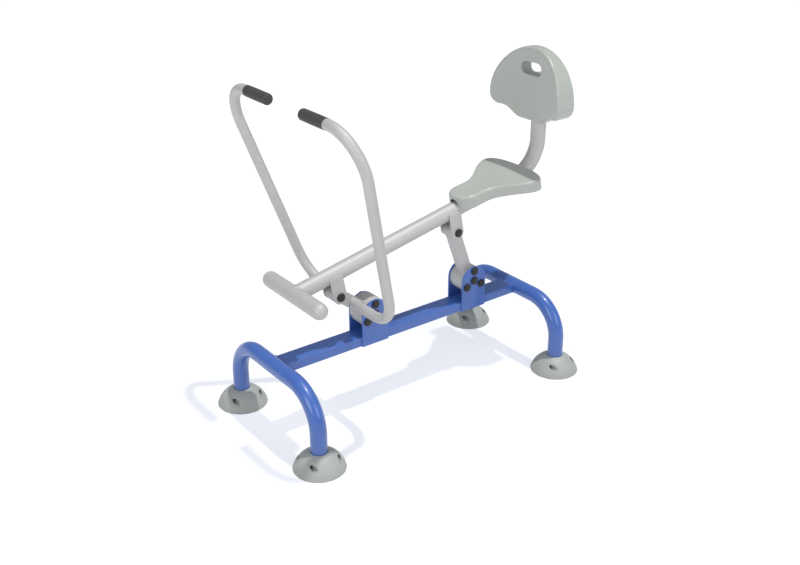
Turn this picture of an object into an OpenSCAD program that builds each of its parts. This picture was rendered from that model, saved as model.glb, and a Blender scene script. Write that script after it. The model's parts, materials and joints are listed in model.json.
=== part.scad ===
// Outdoor rower: two floor hoops and a beam carry a swinging handle frame, a rear link
// and a rising seat frame, joined as a four-bar linkage. Millimetres, +Z up, +X towards
// the seat back. The origin lies on the floor at the middle of the four feet.

/* [Floor frame] */
// Distance between the front and the rear hoop, along X
hoop_spacing = 1133; // [1000:1:1400]
// Distance between the two legs of a hoop, along Y
leg_spacing = 537.4; // [460:0.1:640]
// Outer diameter of the hoop tube
hoop_tube_d = 60.3; // [48:0.1:64]
// Wall of the hoop tube
hoop_wall = 3.2; // [2:0.1:5]
// Height of the hoop's cross run and of the beam, at their centre lines
hoop_h = 277.7; // [240:0.1:320]
// Bend radius of the hoops, at the centre line
hoop_bend_r = 143; // [120:1:160]
// Width of the beam, along Y
beam_w = 76.2; // [74:0.1:90]
// Height of the beam
beam_h = 38.1; // [30:0.1:50]
// Wall of the beam
beam_wall = 3.2; // [2:0.1:5]

/* [Feet] */
// Diameter of a foot cover at the floor
foot_cover_d = 190; // [184:1:220]
// Radius of the foot cover's dome
foot_dome_r = 98.6; // [97.5:0.1:104]
// Wall of the foot cover
foot_cover_wall = 4; // [3:0.5:6]
// Diameter of the steel foot plate
foot_plate_d = 175; // [160:1:178]
// Thickness of the steel foot plate
foot_plate_t = 8; // [5:0.5:12]
// Number of anchor holes in a foot
anchor_count = 4; // [3:1:6]
// Diameter of the circle of anchor holes
anchor_circle_d = 148; // [140:1:150]
// Diameter of an anchor hole
anchor_hole_d = 14; // [10:0.5:16]
// Diameter of the holes through the sides of a foot cover
side_hole_d = 24; // [18:0.5:26]
// Distance of these holes from the leg's middle, along X
side_hole_x = 52.3; // [50:0.1:56]
// Height of these holes over the floor
side_hole_h = 38.8; // [32:0.1:42]

/* [Hubs] */
// Place of the front hub along X
front_hub_x = -160; // [-200:1:-120]
// Place of the rear hub along X
rear_hub_x = 318.3; // [280:0.1:350]
// Height of both hubs
hub_h = 378.9; // [370:0.1:400]
// Half width and top radius of a hub plate
hub_plate_r = 58.5; // [56:0.5:70]
// Thickness of a hub plate
hub_plate_t = 6.35; // [4:0.05:10]
// Radius of a hub drum
drum_r = 54.5; // [52:0.5:56]
// Wall of the drum shell
drum_wall = 4.5; // [3:0.5:5]
// Thickness of each slotted disc inside a drum
disc_t = 6; // [4:0.5:8]
// Distance from the drum's middle to the inner face of a disc
disc_offset = 12; // [8:0.5:15]
// Radius of the circle of stop bolts
stop_circle_r = 41.4; // [40:0.1:42]
// Number of stop bolts in a hub
stop_count = 3; // [2:1:4]
// Angle of the first stop bolt
stop_angle = 90; // [80:1:100]
// Outer diameter of a rubber stop sleeve
stop_sleeve_d = 13; // [11:0.5:14]
// Diameter of a stop bolt
stop_bolt_d = 8; // [6:0.5:9]
// Diameter of the axle bolt
axle_bolt_d = 10; // [8:0.5:12]
// Running gap between a drum and the hub plates
drum_gap = 0.6; // [0.4:0.1:1.5]

/* [Bearings] */
// Bore of a hub bearing
bearing_bore = 20; // [17:0.5:22]
// Outer diameter of a hub bearing
bearing_d = 47; // [44:0.5:48]
// Width of a hub bearing
bearing_w = 14; // [12:0.5:15]
// Diameter of a bearing ball
ball_d = 7.9; // [7:0.1:8.5]
// Number of balls in a bearing
ball_count = 9; // [7:1:10]
// Thickness of a bearing ring's wall
ring_t = 3.6; // [3:0.1:4]
// Outer diameter of the bearing tube
bearing_tube_d = 56; // [52:0.5:58]

/* [Swing arm and link] */
// Width and height of the square tube of the arm and the link
arm_size = 45; // [43:0.5:50]
// Wall of that tube
arm_wall = 3; // [2:0.5:4]
// Outer corner radius of that tube
arm_corner_r = 5; // [4.5:0.5:8]
// Outer diameter of the boss at the end of the arm and of the link
boss_d = 52; // [46:0.5:54]
// Diameter of a pivot pin
pin_d = 16; // [12:0.5:18]
// Wall of a pivot bush
bush_wall = 3; // [2:0.5:4]
// Diameter of a bush flange
bush_flange_d = 38; // [32:1:42]
// Thickness of a bush flange
bush_flange_t = 2.3; // [1.5:0.1:3]
// Radial clearance of a turning pin
pin_clearance = 0.05; // [0.02:0.01:0.1]
// Radial clearance of the rear pin, which takes up the linkage's small misfit
rear_pin_clearance = 2.45; // [2.4:0.05:3]
// Side gap between a bush flange and a lug plate
flange_gap = 0.35; // [0.3:0.05:1]

/* [Handle] */
// Outer diameter of the handle tube
handle_tube_d = 38.1; // [32:0.1:38.4]
// Wall of the handle tube
handle_wall = 2.6; // [2:0.1:4]
// Distance from the front hub to the handle tube, along the arm
handle_station = 105; // [98:1:115]
// Forward lean of the handle's plane
handle_lean = 16.9; // [10:0.1:25]
// Length of the handle up its own plane, from the bottom run to the top run
handle_rise = 801; // [700:1:900]
// Half width of the handle at its bottom corner, before the bend
handle_half_w = 265.2; // [240:0.1:300]
// Outward splay of the handle's sides
handle_splay = 11.2; // [6:0.1:14]
// Lower bend radius of the handle
handle_low_bend_r = 148; // [120:1:160]
// Upper bend radius of the handle
handle_top_bend_r = 140; // [110:1:150]
// Distance from the middle to the grip's outer end
grip_outer = 243.4; // [230:0.1:246]
// Length of a grip
grip_l = 141; // [110:1:160]
// Outer diameter of a grip
grip_d = 40; // [38.5:0.1:44]

/* [Seat frame] */
// Outer diameter of the seat tube and of the foot bar
seat_tube_d = 60.3; // [56:0.1:64]
// Wall of the seat tube
seat_wall = 3.2; // [2:0.1:5]
// Place of the foot bar along X
foot_bar_x = -475; // [-500:1:-450]
// Height of the foot bar
foot_bar_h = 533.5; // [520:0.1:560]
// Half length of the foot bar, to the middle of its round ends
foot_bar_half = 158.5; // [130:0.5:200]
// Slope of the seat tube
seat_slope = 11.72; // [10:0.01:13]
// Distance from the foot bar to the front lug, along the tube
front_lug_s = 157; // [150:1:165]
// Distance from the foot bar to the rear lug, along the tube
rear_lug_s = 711; // [700:1:720]
// Distance from the tube's centre line down to the pivots
lug_drop = 80; // [76:0.5:86]
// Width of a lug plate
lug_w = 54; // [50:0.5:58]
// Thickness of a lug plate
lug_t = 6.35; // [4:0.05:8]
// Bend radius of the seat tube, at the centre line
seat_bend_r = 143; // [130:1:150]
// Place of the upright post along X
post_x = 667; // [655:1:675]
// Distance from the top of the backrest down to the top of the post
post_top_drop = 150; // [140:1:190]

/* [Seat] */
// Length of the seat, along the tube
seat_l = 346; // [320:1:380]
// Full width of the seat
seat_w = 316; // [290:1:340]
// Width of the seat's nose
seat_nose_w = 146; // [130:1:160]
// Depth of the seat's skirt
seat_skirt_h = 45; // [42:0.5:50]
// Height of the seat's top above the tube's centre line
seat_top_h = 48.3; // [46:0.1:54]
// Height of the raised lip behind the sitting face
seat_lip_h = 14; // [8:0.5:18]
// Fall of the lip's top towards the rear edge
seat_rear_fall = 16; // [0:0.5:18]
// Rounding of the seat's top edge
seat_edge_r = 10; // [9:0.5:15]
// Wall of the moulded seat
seat_shell_t = 6; // [5:0.5:8]
// Depth of the dished sitting face
seat_dish = 3; // [0:0.5:5]

/* [Backrest] */
// Full width of the backrest
back_w = 380; // [350:1:420]
// Height of the top of the backrest
back_top_h = 1250; // [1220:1:1280]
// Distance from its top down to its widest line
back_mid_drop = 200; // [190:1:210]
// Distance from its top down to the underside of the side lobes
back_lobe_drop = 247; // [240:1:255]
// Distance from its top down to the underside of the middle
back_low_drop = 287; // [280:1:295]
// Thickness of the backrest at its middle
back_t = 54; // [50:1:60]
// Depth of the hollow of the front face, from side to middle
back_hollow = 46; // [30:1:50]
// Rounding of the front edge
back_front_r = 12; // [8:0.5:14]
// Rounding of the rear edge
back_rear_r = 14; // [10:0.5:22]
// Length of the hand slot
slot_l = 109; // [90:1:120]
// Height of the hand slot
slot_h = 47; // [40:1:50]
// Distance from the top of the backrest down to the middle of the hand slot
slot_mid_drop = 82; // [75:1:90]

/* [Hidden] */

$fn = 64;
// Overrun of every cut past the face that it opens
over = 1;
// Gap between a cover and the tube that passes it
cover_gap = 0.3;
// Hairline between two stretches of one tube, where a bend ends at a free angle
seam = 0.02;

blue = [0.30, 0.44, 0.75];
steel = [0.74, 0.75, 0.76];
moulded = [0.69, 0.72, 0.68];
black = [0.18, 0.18, 0.18];
zinc = [0.62, 0.63, 0.65];

// Heights in the backrest, which all hang from its top
back_mid_h = back_top_h - back_mid_drop;
back_lobe_h = back_top_h - back_lobe_drop;
back_low_h = back_top_h - back_low_drop;
slot_mid_h = back_top_h - slot_mid_drop;
post_top_h = back_top_h - post_top_drop;

hoop_r = hoop_tube_d / 2;
leg_y = leg_spacing / 2;
beam_side = beam_w / 2;
beam_corner_r = 4;
plate_out = beam_side + hub_plate_t;
beam_low = hoop_h - beam_h / 2;
drum_half = beam_side - drum_gap;

// Bearing stack along the hub axis
bearing_side_gap = 0.4;
bearing_far = drum_half - bearing_side_gap;
bearing_near = bearing_far - bearing_w;
shoulder_h = 2;
spacer_t = 3;
ring_clear = 0.05;
ball_circle_r = (bearing_bore + bearing_d) / 4;
groove_clear = 0.08;

// Hex heads, nuts and their covers
head_across = 17;
head_h = 6;
stop_head_across = 13;
stop_head_h = 5.3;
bolt_clear = 0.1;
cap_d = 29;
cap_base_h = 4;
cap_dome_h = 6;
cap_room_h = 6.3;
cap_room_gap = 0.3;

// Linkage: places of the four pivots in the XZ plane
slope_dir = [cos(seat_slope), sin(seat_slope)];
slope_up = [-sin(seat_slope), cos(seat_slope)];
foot_bar_at = [foot_bar_x, foot_bar_h];
function on_tube(s, h) = foot_bar_at + s * slope_dir + h * slope_up;
front_hub_at = [front_hub_x, hub_h];
rear_hub_at = [rear_hub_x, hub_h];
front_pivot_at = on_tube(front_lug_s, -lug_drop);
rear_pivot_at = on_tube(rear_lug_s, -lug_drop);
crank_v = front_pivot_at - front_hub_at;
link_v = rear_pivot_at - rear_hub_at;
crank_l = norm(crank_v);
link_l = norm(link_v);
crank_angle = atan2(crank_v[1], crank_v[0]);
link_angle = atan2(link_v[1], link_v[0]);

// Travel of the two drums, with a little to spare at the rear
front_travel = 30;
rear_travel = 19.9;
rear_travel_spare = 3;
slot_gap = 0.5;
slot_r = stop_sleeve_d / 2 + slot_gap;
// The drilled ends of a slot are this much wider than its sides
slot_end_relief = 0.1;

pin_r = pin_d / 2;
seat_r = seat_tube_d / 2;
lug_in = seat_r;
lug_out = lug_in + lug_t;
boss_half = lug_in - flange_gap - bush_flange_t;
bush_l = 20;

handle_r = handle_tube_d / 2;
handle_at = front_hub_at + handle_station * [cos(crank_angle), sin(crank_angle)];
handle_core_r = handle_r - handle_wall;
splay_dir = [sin(handle_splay), cos(handle_splay)];
low_turn = 90 - handle_splay;
top_turn = 90 + handle_splay;
low_tangent = handle_low_bend_r * tan(low_turn / 2);
top_tangent = handle_top_bend_r * tan(top_turn / 2);
low_corner = [handle_half_w, 0];
top_corner = [handle_half_w + handle_rise * tan(handle_splay), handle_rise];
low_bend_at = [handle_half_w - low_tangent, handle_low_bend_r];
top_bend_at = [top_corner[0] - top_tangent, handle_rise - handle_top_bend_r];
side_from = low_corner + low_tangent * splay_dir;
side_to = top_corner - top_tangent * splay_dir;
grip_inner = grip_outer - grip_l;
grip_end_r = 8;
// The spigots end just before the handle's top bends begin
spigot_to = top_bend_at[0] - over;
spigot_wall = 2.5;
spigot_gap = 0.2;
spigot_r = handle_core_r - spigot_gap;

// Seat tube: straight, one bend, then the upright post
bend_turn = 90 - seat_slope;
// The coped tip of the seat tube is trimmed this far from the foot bar's middle
cope_start = 9;
// Room round the tube inside the seat
seat_tube_room = 3;
bend_tangent = seat_bend_r * tan(bend_turn / 2);
tube_corner_s = (post_x - foot_bar_x) / cos(seat_slope);
straight_l = tube_corner_s - bend_tangent;
post_from_h = on_tube(straight_l, seat_bend_r)[1];

// Stretches of tube that repeat, solid where the wall is zero
module tube_section(r, wall) {
    difference() {
        circle(r = r);
        if (wall > 0) circle(r = r - wall);
    }
}

module tube_run(r, wall, l) { linear_extrude(l) tube_section(r, wall); }

module tube_bend(r, wall, bend_r, turn) {
    rotate_extrude(angle = turn, $fn = 96) translate([bend_r, 0]) tube_section(r, wall);
}

// A round bar along Y, centred at a place in the XZ plane
module cross_bar(at, r, w) {
    translate([at[0], w / 2, at[1]]) rotate([90, 0, 0]) cylinder(r = r, h = w);
}

// A pair of children, the second mirrored across the middle plane
module both_sides() {
    children();
    mirror([0, 1, 0]) children();
}

// Children drawn along +Z are laid along +Y or -Y from a given distance
module on_side(at, y) {
    translate([at[0], y, at[1]]) rotate([-90, 0, 0]) children();
}

// Places of the stop bolts round a hub
function stop_at(hub, k) = hub + stop_circle_r
    * [cos(stop_angle + k * 360 / stop_count), sin(stop_angle + k * 360 / stop_count)];

// Floor hoops
module hoop(x) {
    leg_top = hoop_h - hoop_bend_r;
    run_half = leg_y - hoop_bend_r;
    translate([x, 0, 0]) {
        both_sides() {
            translate([0, leg_y, foot_plate_t]) tube_run(hoop_r, hoop_wall, leg_top - foot_plate_t);
            translate([0, run_half, leg_top]) rotate([90, 0, 90])
                tube_bend(hoop_r, hoop_wall, hoop_bend_r, 90);
        }
        translate([0, run_half, hoop_h]) rotate([90, 0, 0])
            tube_run(hoop_r, hoop_wall, 2 * run_half);
    }
}

module front_hoop() { color(blue) hoop(-hoop_spacing / 2); }
module rear_hoop() { color(blue) hoop(hoop_spacing / 2); }

// A bar along X with rounded corners, centred on the origin
module beam_bar(w, h, r, l) {
    x = w / 2 - r;
    y = h / 2 - r;
    rotate([90, 0, 90]) translate([0, 0, -l / 2]) linear_extrude(l) union() {
        square([w, 2 * y], center = true);
        square([2 * x, h], center = true);
        for (i = [-1, 1], j = [-1, 1]) translate([i * x, j * y]) circle(r = r, $fn = 32);
    }
}

module main_beam() {
    color(blue) difference() {
        translate([0, 0, hoop_h]) beam_bar(beam_w, beam_h, beam_corner_r, hoop_spacing);
        translate([0, 0, hoop_h]) beam_bar(beam_w - 2 * beam_wall, beam_h - 2 * beam_wall,
            beam_corner_r - beam_wall / 2, hoop_spacing + over);
        for (x = [-1, 1]) cross_bar([x * hoop_spacing / 2, hoop_h], hoop_r, beam_w + 2 * over);
    }
}

// Feet
module at_foot(i, j) { translate([i * hoop_spacing / 2, j * leg_y, 0]) children(); }

module anchor_ring(d, from, to) {
    for (k = [0 : anchor_count - 1]) rotate([0, 0, 45 + k * 360 / anchor_count])
        translate([anchor_circle_d / 2, 0, from]) cylinder(d = d, h = to - from);
}

module foot_plates() {
    color(zinc) for (i = [-1, 1], j = [-1, 1]) at_foot(i, j) difference() {
        cylinder(d = foot_plate_d, h = foot_plate_t, $fn = 96);
        anchor_ring(anchor_hole_d, -over, foot_plate_t + over);
    }
}

module foot_cover(i, j) {
    drop = sqrt(foot_dome_r * foot_dome_r - foot_cover_d * foot_cover_d / 4);
    color(moulded) at_foot(i, j) difference() {
        translate([0, 0, -drop]) sphere(r = foot_dome_r, $fn = 96);
        translate([0, 0, -drop]) sphere(r = foot_dome_r - foot_cover_wall, $fn = 96);
        translate([0, 0, -foot_dome_r - drop - over])
            cylinder(r = foot_dome_r + over, h = foot_dome_r + drop + over);
        cylinder(r = hoop_r + cover_gap, h = foot_dome_r);
        for (x = [-side_hole_x, side_hole_x])
            translate([x, foot_dome_r, side_hole_h]) rotate([90, 0, 0])
                cylinder(d = side_hole_d, h = 2 * foot_dome_r);
    }
}

module foot_cover_front_near() { foot_cover(-1, -1); }
module foot_cover_front_far() { foot_cover(-1, 1); }
module foot_cover_rear_near() { foot_cover(1, -1); }
module foot_cover_rear_far() { foot_cover(1, 1); }

// Hub plates, welded to the beam's sides
module hub_plates(hub) {
    color(blue) both_sides() difference() {
        translate([hub[0], plate_out, 0]) rotate([90, 0, 0]) linear_extrude(hub_plate_t) union() {
            translate([0, hub[1]]) circle(r = hub_plate_r, $fn = 96);
            translate([-hub_plate_r, beam_low]) square([2 * hub_plate_r, hub[1] - beam_low]);
        }
        cross_bar(hub, axle_bolt_d / 2 + bolt_clear, 2 * plate_out + 2 * over);
        for (k = [0 : stop_count - 1])
            cross_bar(stop_at(hub, k), stop_bolt_d / 2 + bolt_clear, 2 * plate_out + 2 * over);
    }
}

module front_hub_plates() { hub_plates(front_hub_at); }
module rear_hub_plates() { hub_plates(rear_hub_at); }

// Bolts lie along Y: the head is on the near side and the nut on the far side
module bolt(at, d, out, across_flats, h) {
    cross_bar(at, d / 2, 2 * out);
    translate([at[0], -out, at[1]]) rotate([90, 0, 0])
        cylinder(d = across_flats / cos(30), h = h, $fn = 6);
    translate([at[0], out + h, at[1]]) rotate([90, 0, 0]) cylinder(r = d / 2, h = h);
}

module nut(at, d, out, across_flats, h) {
    difference() {
        translate([at[0], out + h, at[1]]) rotate([90, 0, 0])
            cylinder(d = across_flats / cos(30), h = h, $fn = 6);
        cross_bar(at, d / 2, 2 * out + 2 * h + 2 * over);
    }
}

module bolt_cap() {
    dome_r = (cap_d * cap_d / 4 + cap_dome_h * cap_dome_h) / (2 * cap_dome_h);
    difference() {
        intersection() {
            cylinder(d = cap_d, h = cap_base_h + cap_dome_h);
            translate([0, 0, cap_base_h + cap_dome_h - dome_r]) sphere(r = dome_r);
        }
        translate([0, 0, -over])
            cylinder(d = head_across / cos(30) + 2 * cap_room_gap, h = cap_room_h + over);
    }
}

module cap_pair(at, out) { both_sides() on_side(at, out) bolt_cap(); }

module axle_bolts() {
    color(zinc) for (hub = [front_hub_at, rear_hub_at])
        bolt(hub, axle_bolt_d, plate_out, head_across, head_h);
}

module stop_bolts() {
    color(zinc) for (hub = [front_hub_at, rear_hub_at], k = [0 : stop_count - 1])
        bolt(stop_at(hub, k), stop_bolt_d, plate_out, stop_head_across, stop_head_h);
}

module hub_nuts() {
    color(zinc) for (hub = [front_hub_at, rear_hub_at]) {
        nut(hub, axle_bolt_d, plate_out, head_across, head_h);
        for (k = [0 : stop_count - 1])
            nut(stop_at(hub, k), stop_bolt_d, plate_out, stop_head_across, stop_head_h);
    }
}

module hub_caps() {
    color(black) for (hub = [front_hub_at, rear_hub_at]) {
        cap_pair(hub, plate_out);
        for (k = [0 : stop_count - 1]) cap_pair(stop_at(hub, k), plate_out);
    }
}

module stop_sleeves() {
    color(black) for (hub = [front_hub_at, rear_hub_at], k = [0 : stop_count - 1]) difference() {
        cross_bar(stop_at(hub, k), stop_sleeve_d / 2, 2 * beam_side);
        cross_bar(stop_at(hub, k), stop_bolt_d / 2, 2 * beam_side + 2 * over);
    }
}

// Fixed sleeve that the inner rings sit on
module axle_sleeves() {
    color(zinc) for (hub = [front_hub_at, rear_hub_at]) difference() {
        cross_bar(hub, bearing_bore / 2 - ring_clear, 2 * beam_side);
        cross_bar(hub, axle_bolt_d / 2 + bolt_clear, 2 * beam_side + 2 * over);
    }
}

module washer_ring(at, r_in, r_out, from, to) {
    difference() {
        on_side(at, from) cylinder(r = r_out, h = to - from);
        on_side(at, from - over) cylinder(r = r_in, h = to - from + 2 * over);
    }
}

module hub_spacers() {
    color(zinc) for (hub = [front_hub_at, rear_hub_at]) {
        washer_ring(hub, bearing_bore / 2, bearing_bore / 2 + spacer_t, -bearing_near, bearing_near);
        both_sides() washer_ring(hub, bearing_bore / 2, bearing_bore / 2 + spacer_t,
            bearing_far, beam_side);
    }
}

// Bearing rings have a round groove for the balls
module bearing_ring(hub, r_in, r_out) {
    both_sides() on_side(hub, bearing_near) rotate_extrude($fn = 96) difference() {
        translate([r_in, 0]) square([r_out - r_in, bearing_w]);
        translate([ball_circle_r, bearing_w / 2]) circle(r = ball_d / 2 + groove_clear);
    }
}

module bearing_inner_rings() {
    color(steel) for (hub = [front_hub_at, rear_hub_at])
        bearing_ring(hub, bearing_bore / 2, bearing_bore / 2 + ring_t);
}

module outer_rings(hub) { color(steel) bearing_ring(hub, bearing_d / 2 - ring_t, bearing_d / 2); }

module balls(hub) {
    color(steel) both_sides() on_side(hub, bearing_near + bearing_w / 2)
        for (k = [0 : ball_count - 1]) rotate([0, 0, k * 360 / ball_count])
            translate([ball_circle_r, 0, 0]) sphere(r = ball_d / 2, $fn = 32);
}

// Moving drums: shell, two discs with curved slots for the stops, and the bearing tube
module drum_shell(hub) {
    color(steel) difference() {
        cross_bar(hub, drum_r, 2 * drum_half);
        cross_bar(hub, drum_r - drum_wall, 2 * drum_half + 2 * over);
    }
}

module stop_slot(travel) {
    rotate_extrude(angle = travel, $fn = 96) translate([stop_circle_r - slot_r, -over])
        square([2 * slot_r, disc_t + 2 * over]);
    for (a = [0, travel]) rotate([0, 0, a])
        translate([stop_circle_r, 0, -over])
            cylinder(r = slot_r + slot_end_relief, h = disc_t + 2 * over);
}

module drum_disc(travel, spare) {
    difference() {
        cylinder(r = drum_r - drum_wall, h = disc_t, $fn = 96);
        translate([0, 0, -over]) cylinder(d = bearing_tube_d, h = disc_t + 2 * over);
        for (k = [0 : stop_count - 1])
            rotate([0, 0, stop_angle - spare + k * 360 / stop_count]) stop_slot(travel + 2 * spare);
    }
}

module drum_discs(hub, travel, spare) {
    color(steel) for (y = [-disc_offset, disc_offset + disc_t])
        translate([hub[0], y, hub[1]]) rotate([90, 0, 0]) drum_disc(travel, spare);
}

module bearing_tube(hub) {
    color(steel) difference() {
        cross_bar(hub, bearing_tube_d / 2, 2 * drum_half);
        cross_bar(hub, bearing_d / 2 - shoulder_h, 2 * drum_half + 2 * over);
        both_sides() on_side(hub, bearing_near) cylinder(d = bearing_d, h = bearing_w + over);
    }
}

module front_drum_shell() { drum_shell(front_hub_at); }
module front_drum_discs() { drum_discs(front_hub_at, front_travel, 0); }
module front_bearing_tube() { bearing_tube(front_hub_at); }
module front_bearing_outer_rings() { outer_rings(front_hub_at); }
module front_bearing_balls() { balls(front_hub_at); }
module rear_drum_shell() { drum_shell(rear_hub_at); }
module rear_drum_discs() { drum_discs(rear_hub_at, rear_travel, rear_travel_spare); }
module rear_bearing_tube() { bearing_tube(rear_hub_at); }
module rear_bearing_outer_rings() { outer_rings(rear_hub_at); }
module rear_bearing_balls() { balls(rear_hub_at); }

// Square tube from a drum to its boss, coped to both
module arm(hub, pivot, angle, l) {
    difference() {
        translate([hub[0], 0, hub[1]]) rotate([0, -angle, 0]) difference() {
            translate([l / 2, 0, 0]) beam_bar(arm_size, arm_size, arm_corner_r, l);
            translate([l / 2, 0, 0]) beam_bar(arm_size - 2 * arm_wall, arm_size - 2 * arm_wall,
                arm_corner_r - arm_wall / 2, l + 2 * over);
        }
        cross_bar(hub, drum_r, 2 * beam_side);
        cross_bar(pivot, boss_d / 2, 2 * beam_side);
    }
}

module boss(at, hole_r) {
    difference() {
        cross_bar(at, boss_d / 2, 2 * boss_half);
        cross_bar(at, hole_r, 2 * boss_half + 2 * over);
    }
}

module bushes(at, clearance) {
    both_sides() difference() {
        union() {
            on_side(at, boss_half - bush_l)
                cylinder(r = pin_r + clearance + bush_wall, h = bush_l);
            on_side(at, boss_half) cylinder(d = bush_flange_d, h = bush_flange_t);
        }
        cross_bar(at, pin_r + clearance, 2 * lug_in + 2 * over);
    }
}

module crank_arm() {
    color(steel) difference() {
        arm(front_hub_at, front_pivot_at, crank_angle, crank_l);
        cross_bar(handle_at, handle_r, arm_size + 2 * over);
    }
}

module link_tube() { color(steel) arm(rear_hub_at, rear_pivot_at, link_angle, link_l); }
module crank_boss() { color(steel) boss(front_pivot_at, pin_r + pin_clearance + bush_wall); }
module link_boss() { color(steel) boss(rear_pivot_at, pin_r + rear_pin_clearance + bush_wall); }
module crank_bushes() { color(black) bushes(front_pivot_at, pin_clearance); }
module link_bushes() { color(black) bushes(rear_pivot_at, rear_pin_clearance); }

// Handle: one bent tube that passes through the swing arm, drawn in its own leaning plane
module handle_frame() {
    translate([handle_at[0], 0, handle_at[1]]) rotate([0, -handle_lean, 0]) rotate([90, 0, 90])
        children();
}

// Side of the handle with both of its bends, drawn along +Y from the lower bend
module handle_side() {
    side_l = norm(side_to - side_from);
    translate([side_from[0], side_from[1], 0]) rotate([0, 0, -handle_splay]) {
        rotate([-90, 0, 0]) tube_run(handle_r, handle_wall, side_l);
        translate([-handle_low_bend_r, 0, 0]) mirror([0, 1, 0])
            tube_bend(handle_r, handle_wall, handle_low_bend_r, low_turn);
        translate([-handle_top_bend_r, side_l, 0])
            tube_bend(handle_r, handle_wall, handle_top_bend_r, top_turn);
    }
}

module handle_tube() {
    low_half = low_bend_at[0] - seam;
    color(steel) handle_frame() {
        translate([-low_half, 0, 0]) rotate([0, 90, 0]) tube_run(handle_r, handle_wall, 2 * low_half);
        for (m = [0, 1]) mirror([m, 0, 0]) {
            handle_side();
            translate([grip_outer, handle_rise, 0]) rotate([0, 90, 0])
                tube_run(handle_r, handle_wall, top_bend_at[0] - grip_outer - seam);
        }
    }
}

// Short inner tubes that carry the grips
module grip_spigots() {
    from = grip_inner + grip_end_r + over;
    color(zinc) handle_frame() for (m = [0, 1]) mirror([m, 0, 0])
        translate([from, handle_rise, 0]) rotate([0, 90, 0]) difference() {
            cylinder(r = spigot_r, h = spigot_to - from);
            translate([0, 0, -over])
                cylinder(r = spigot_r - spigot_wall, h = spigot_to - from + 2 * over);
        }
}

module grip() {
    wall_end = grip_end_r + over;
    difference() {
        rotate_extrude() union() {
            translate([0, grip_end_r]) square([grip_d / 2, grip_l - grip_end_r]);
            square([grip_d / 2 - grip_end_r, grip_end_r + over]);
            intersection() {
                translate([grip_d / 2 - grip_end_r, grip_end_r]) circle(r = grip_end_r);
                square([grip_d, grip_end_r + over]);
            }
        }
        translate([0, 0, wall_end]) cylinder(r = handle_core_r, h = grip_l);
    }
}

module grip_at(m) {
    color(black) handle_frame() mirror([m, 0, 0])
        translate([grip_inner, handle_rise, 0]) rotate([0, 90, 0]) grip();
}

module grip_near() { grip_at(1); }
module grip_far() { grip_at(0); }

// Seat tube with its bend and post
module on_slope(s, h) {
    at = on_tube(s, h);
    translate([at[0], 0, at[1]]) rotate([0, -seat_slope, 0]) children();
}

module seat_path(r, wall) {
    on_slope(0, 0) {
        translate([cope_start, 0, 0]) rotate([0, 90, 0]) tube_run(r, wall, straight_l - cope_start);
        translate([straight_l, 0, seat_bend_r]) rotate([90, 0, 0]) rotate([0, 0, -90])
            tube_bend(r, wall, seat_bend_r, bend_turn);
    }
    translate([post_x, 0, post_from_h + seam]) rotate([0, 0, 90])
        tube_run(r, wall, post_top_h - post_from_h - seam);
}

backrest_bolt_d = 8;
backrest_bolt_low = 60;
backrest_bolt_high = 30;
backrest_bolt_places = [back_low_h + backrest_bolt_low, post_top_h - backrest_bolt_high];

module backrest_holes(r) {
    for (h = backrest_bolt_places) translate([post_x - seat_r - over, 0, h])
        rotate([0, 90, 0]) cylinder(r = r, h = back_t + seat_tube_d);
}

module seat_tube() {
    color(steel) difference() {
        seat_path(seat_r, seat_wall);
        cross_bar(foot_bar_at, seat_r, 4 * seat_r);
        backrest_holes(backrest_bolt_d / 2 + bolt_clear);
    }
}

module foot_bar() {
    color(steel) difference() {
        cross_bar(foot_bar_at, seat_r, 2 * foot_bar_half);
        cross_bar(foot_bar_at, seat_r - seat_wall, 2 * foot_bar_half + 2 * over);
    }
}

module foot_bar_ends() {
    color(steel) both_sides() on_side(foot_bar_at, foot_bar_half) difference() {
        sphere(r = seat_r);
        sphere(r = seat_r - seat_wall);
        translate([0, 0, -seat_r - over]) cylinder(r = seat_r + over, h = seat_r + over);
    }
}

// Lug plates: square at the tube, round at the pivot
module lug_plates(s) {
    color(steel) both_sides() difference() {
        on_slope(s, 0) translate([0, lug_out, 0]) rotate([90, 0, 0]) linear_extrude(lug_t) union() {
            translate([0, -lug_drop]) circle(d = lug_w);
            translate([-lug_w / 2, -lug_drop]) square([lug_w, lug_drop]);
        }
        on_slope(s, -lug_drop) rotate([90, 0, 0]) translate([0, 0, -lug_out - over])
            cylinder(r = pin_r, h = 2 * lug_out + 2 * over);
    }
}

module front_lug_plates() { lug_plates(front_lug_s); }
module rear_lug_plates() { lug_plates(rear_lug_s); }

module lug_pins() {
    color(zinc) for (at = [front_pivot_at, rear_pivot_at]) {
        cross_bar(at, pin_r, 2 * lug_out);
        translate([at[0], -lug_out, at[1]]) rotate([90, 0, 0])
            cylinder(d = head_across / cos(30), h = head_h, $fn = 6);
        translate([at[0], lug_out + head_h, at[1]]) rotate([90, 0, 0])
            cylinder(d = axle_bolt_d, h = head_h);
    }
}

module lug_nuts() {
    color(zinc) for (at = [front_pivot_at, rear_pivot_at])
        nut(at, axle_bolt_d, lug_out, head_across, head_h);
}

module lug_caps() {
    color(black) for (at = [front_pivot_at, rear_pivot_at]) cap_pair(at, lug_out);
}

// Lofts: closed rings of points joined in order, each end closed by straight rungs
half_count = 36;
ring_count = 2 * half_count;
rung_count = 10;

function smooth(t) = let (c = min(1, max(0, t))) c * c * (3 - 2 * c);
function unit(v) = v / norm(v);
// Outward normal of a closed ring of points in a plane
function ring_normal(ring, i) =
    let (n = len(ring), d = ring[(i + 1) % n] - ring[(i + n - 1) % n]) unit([d[1], -d[0]]);
function inset(ring, d) = [for (i = [0 : len(ring) - 1]) ring[i] - d * ring_normal(ring, i)];
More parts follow.
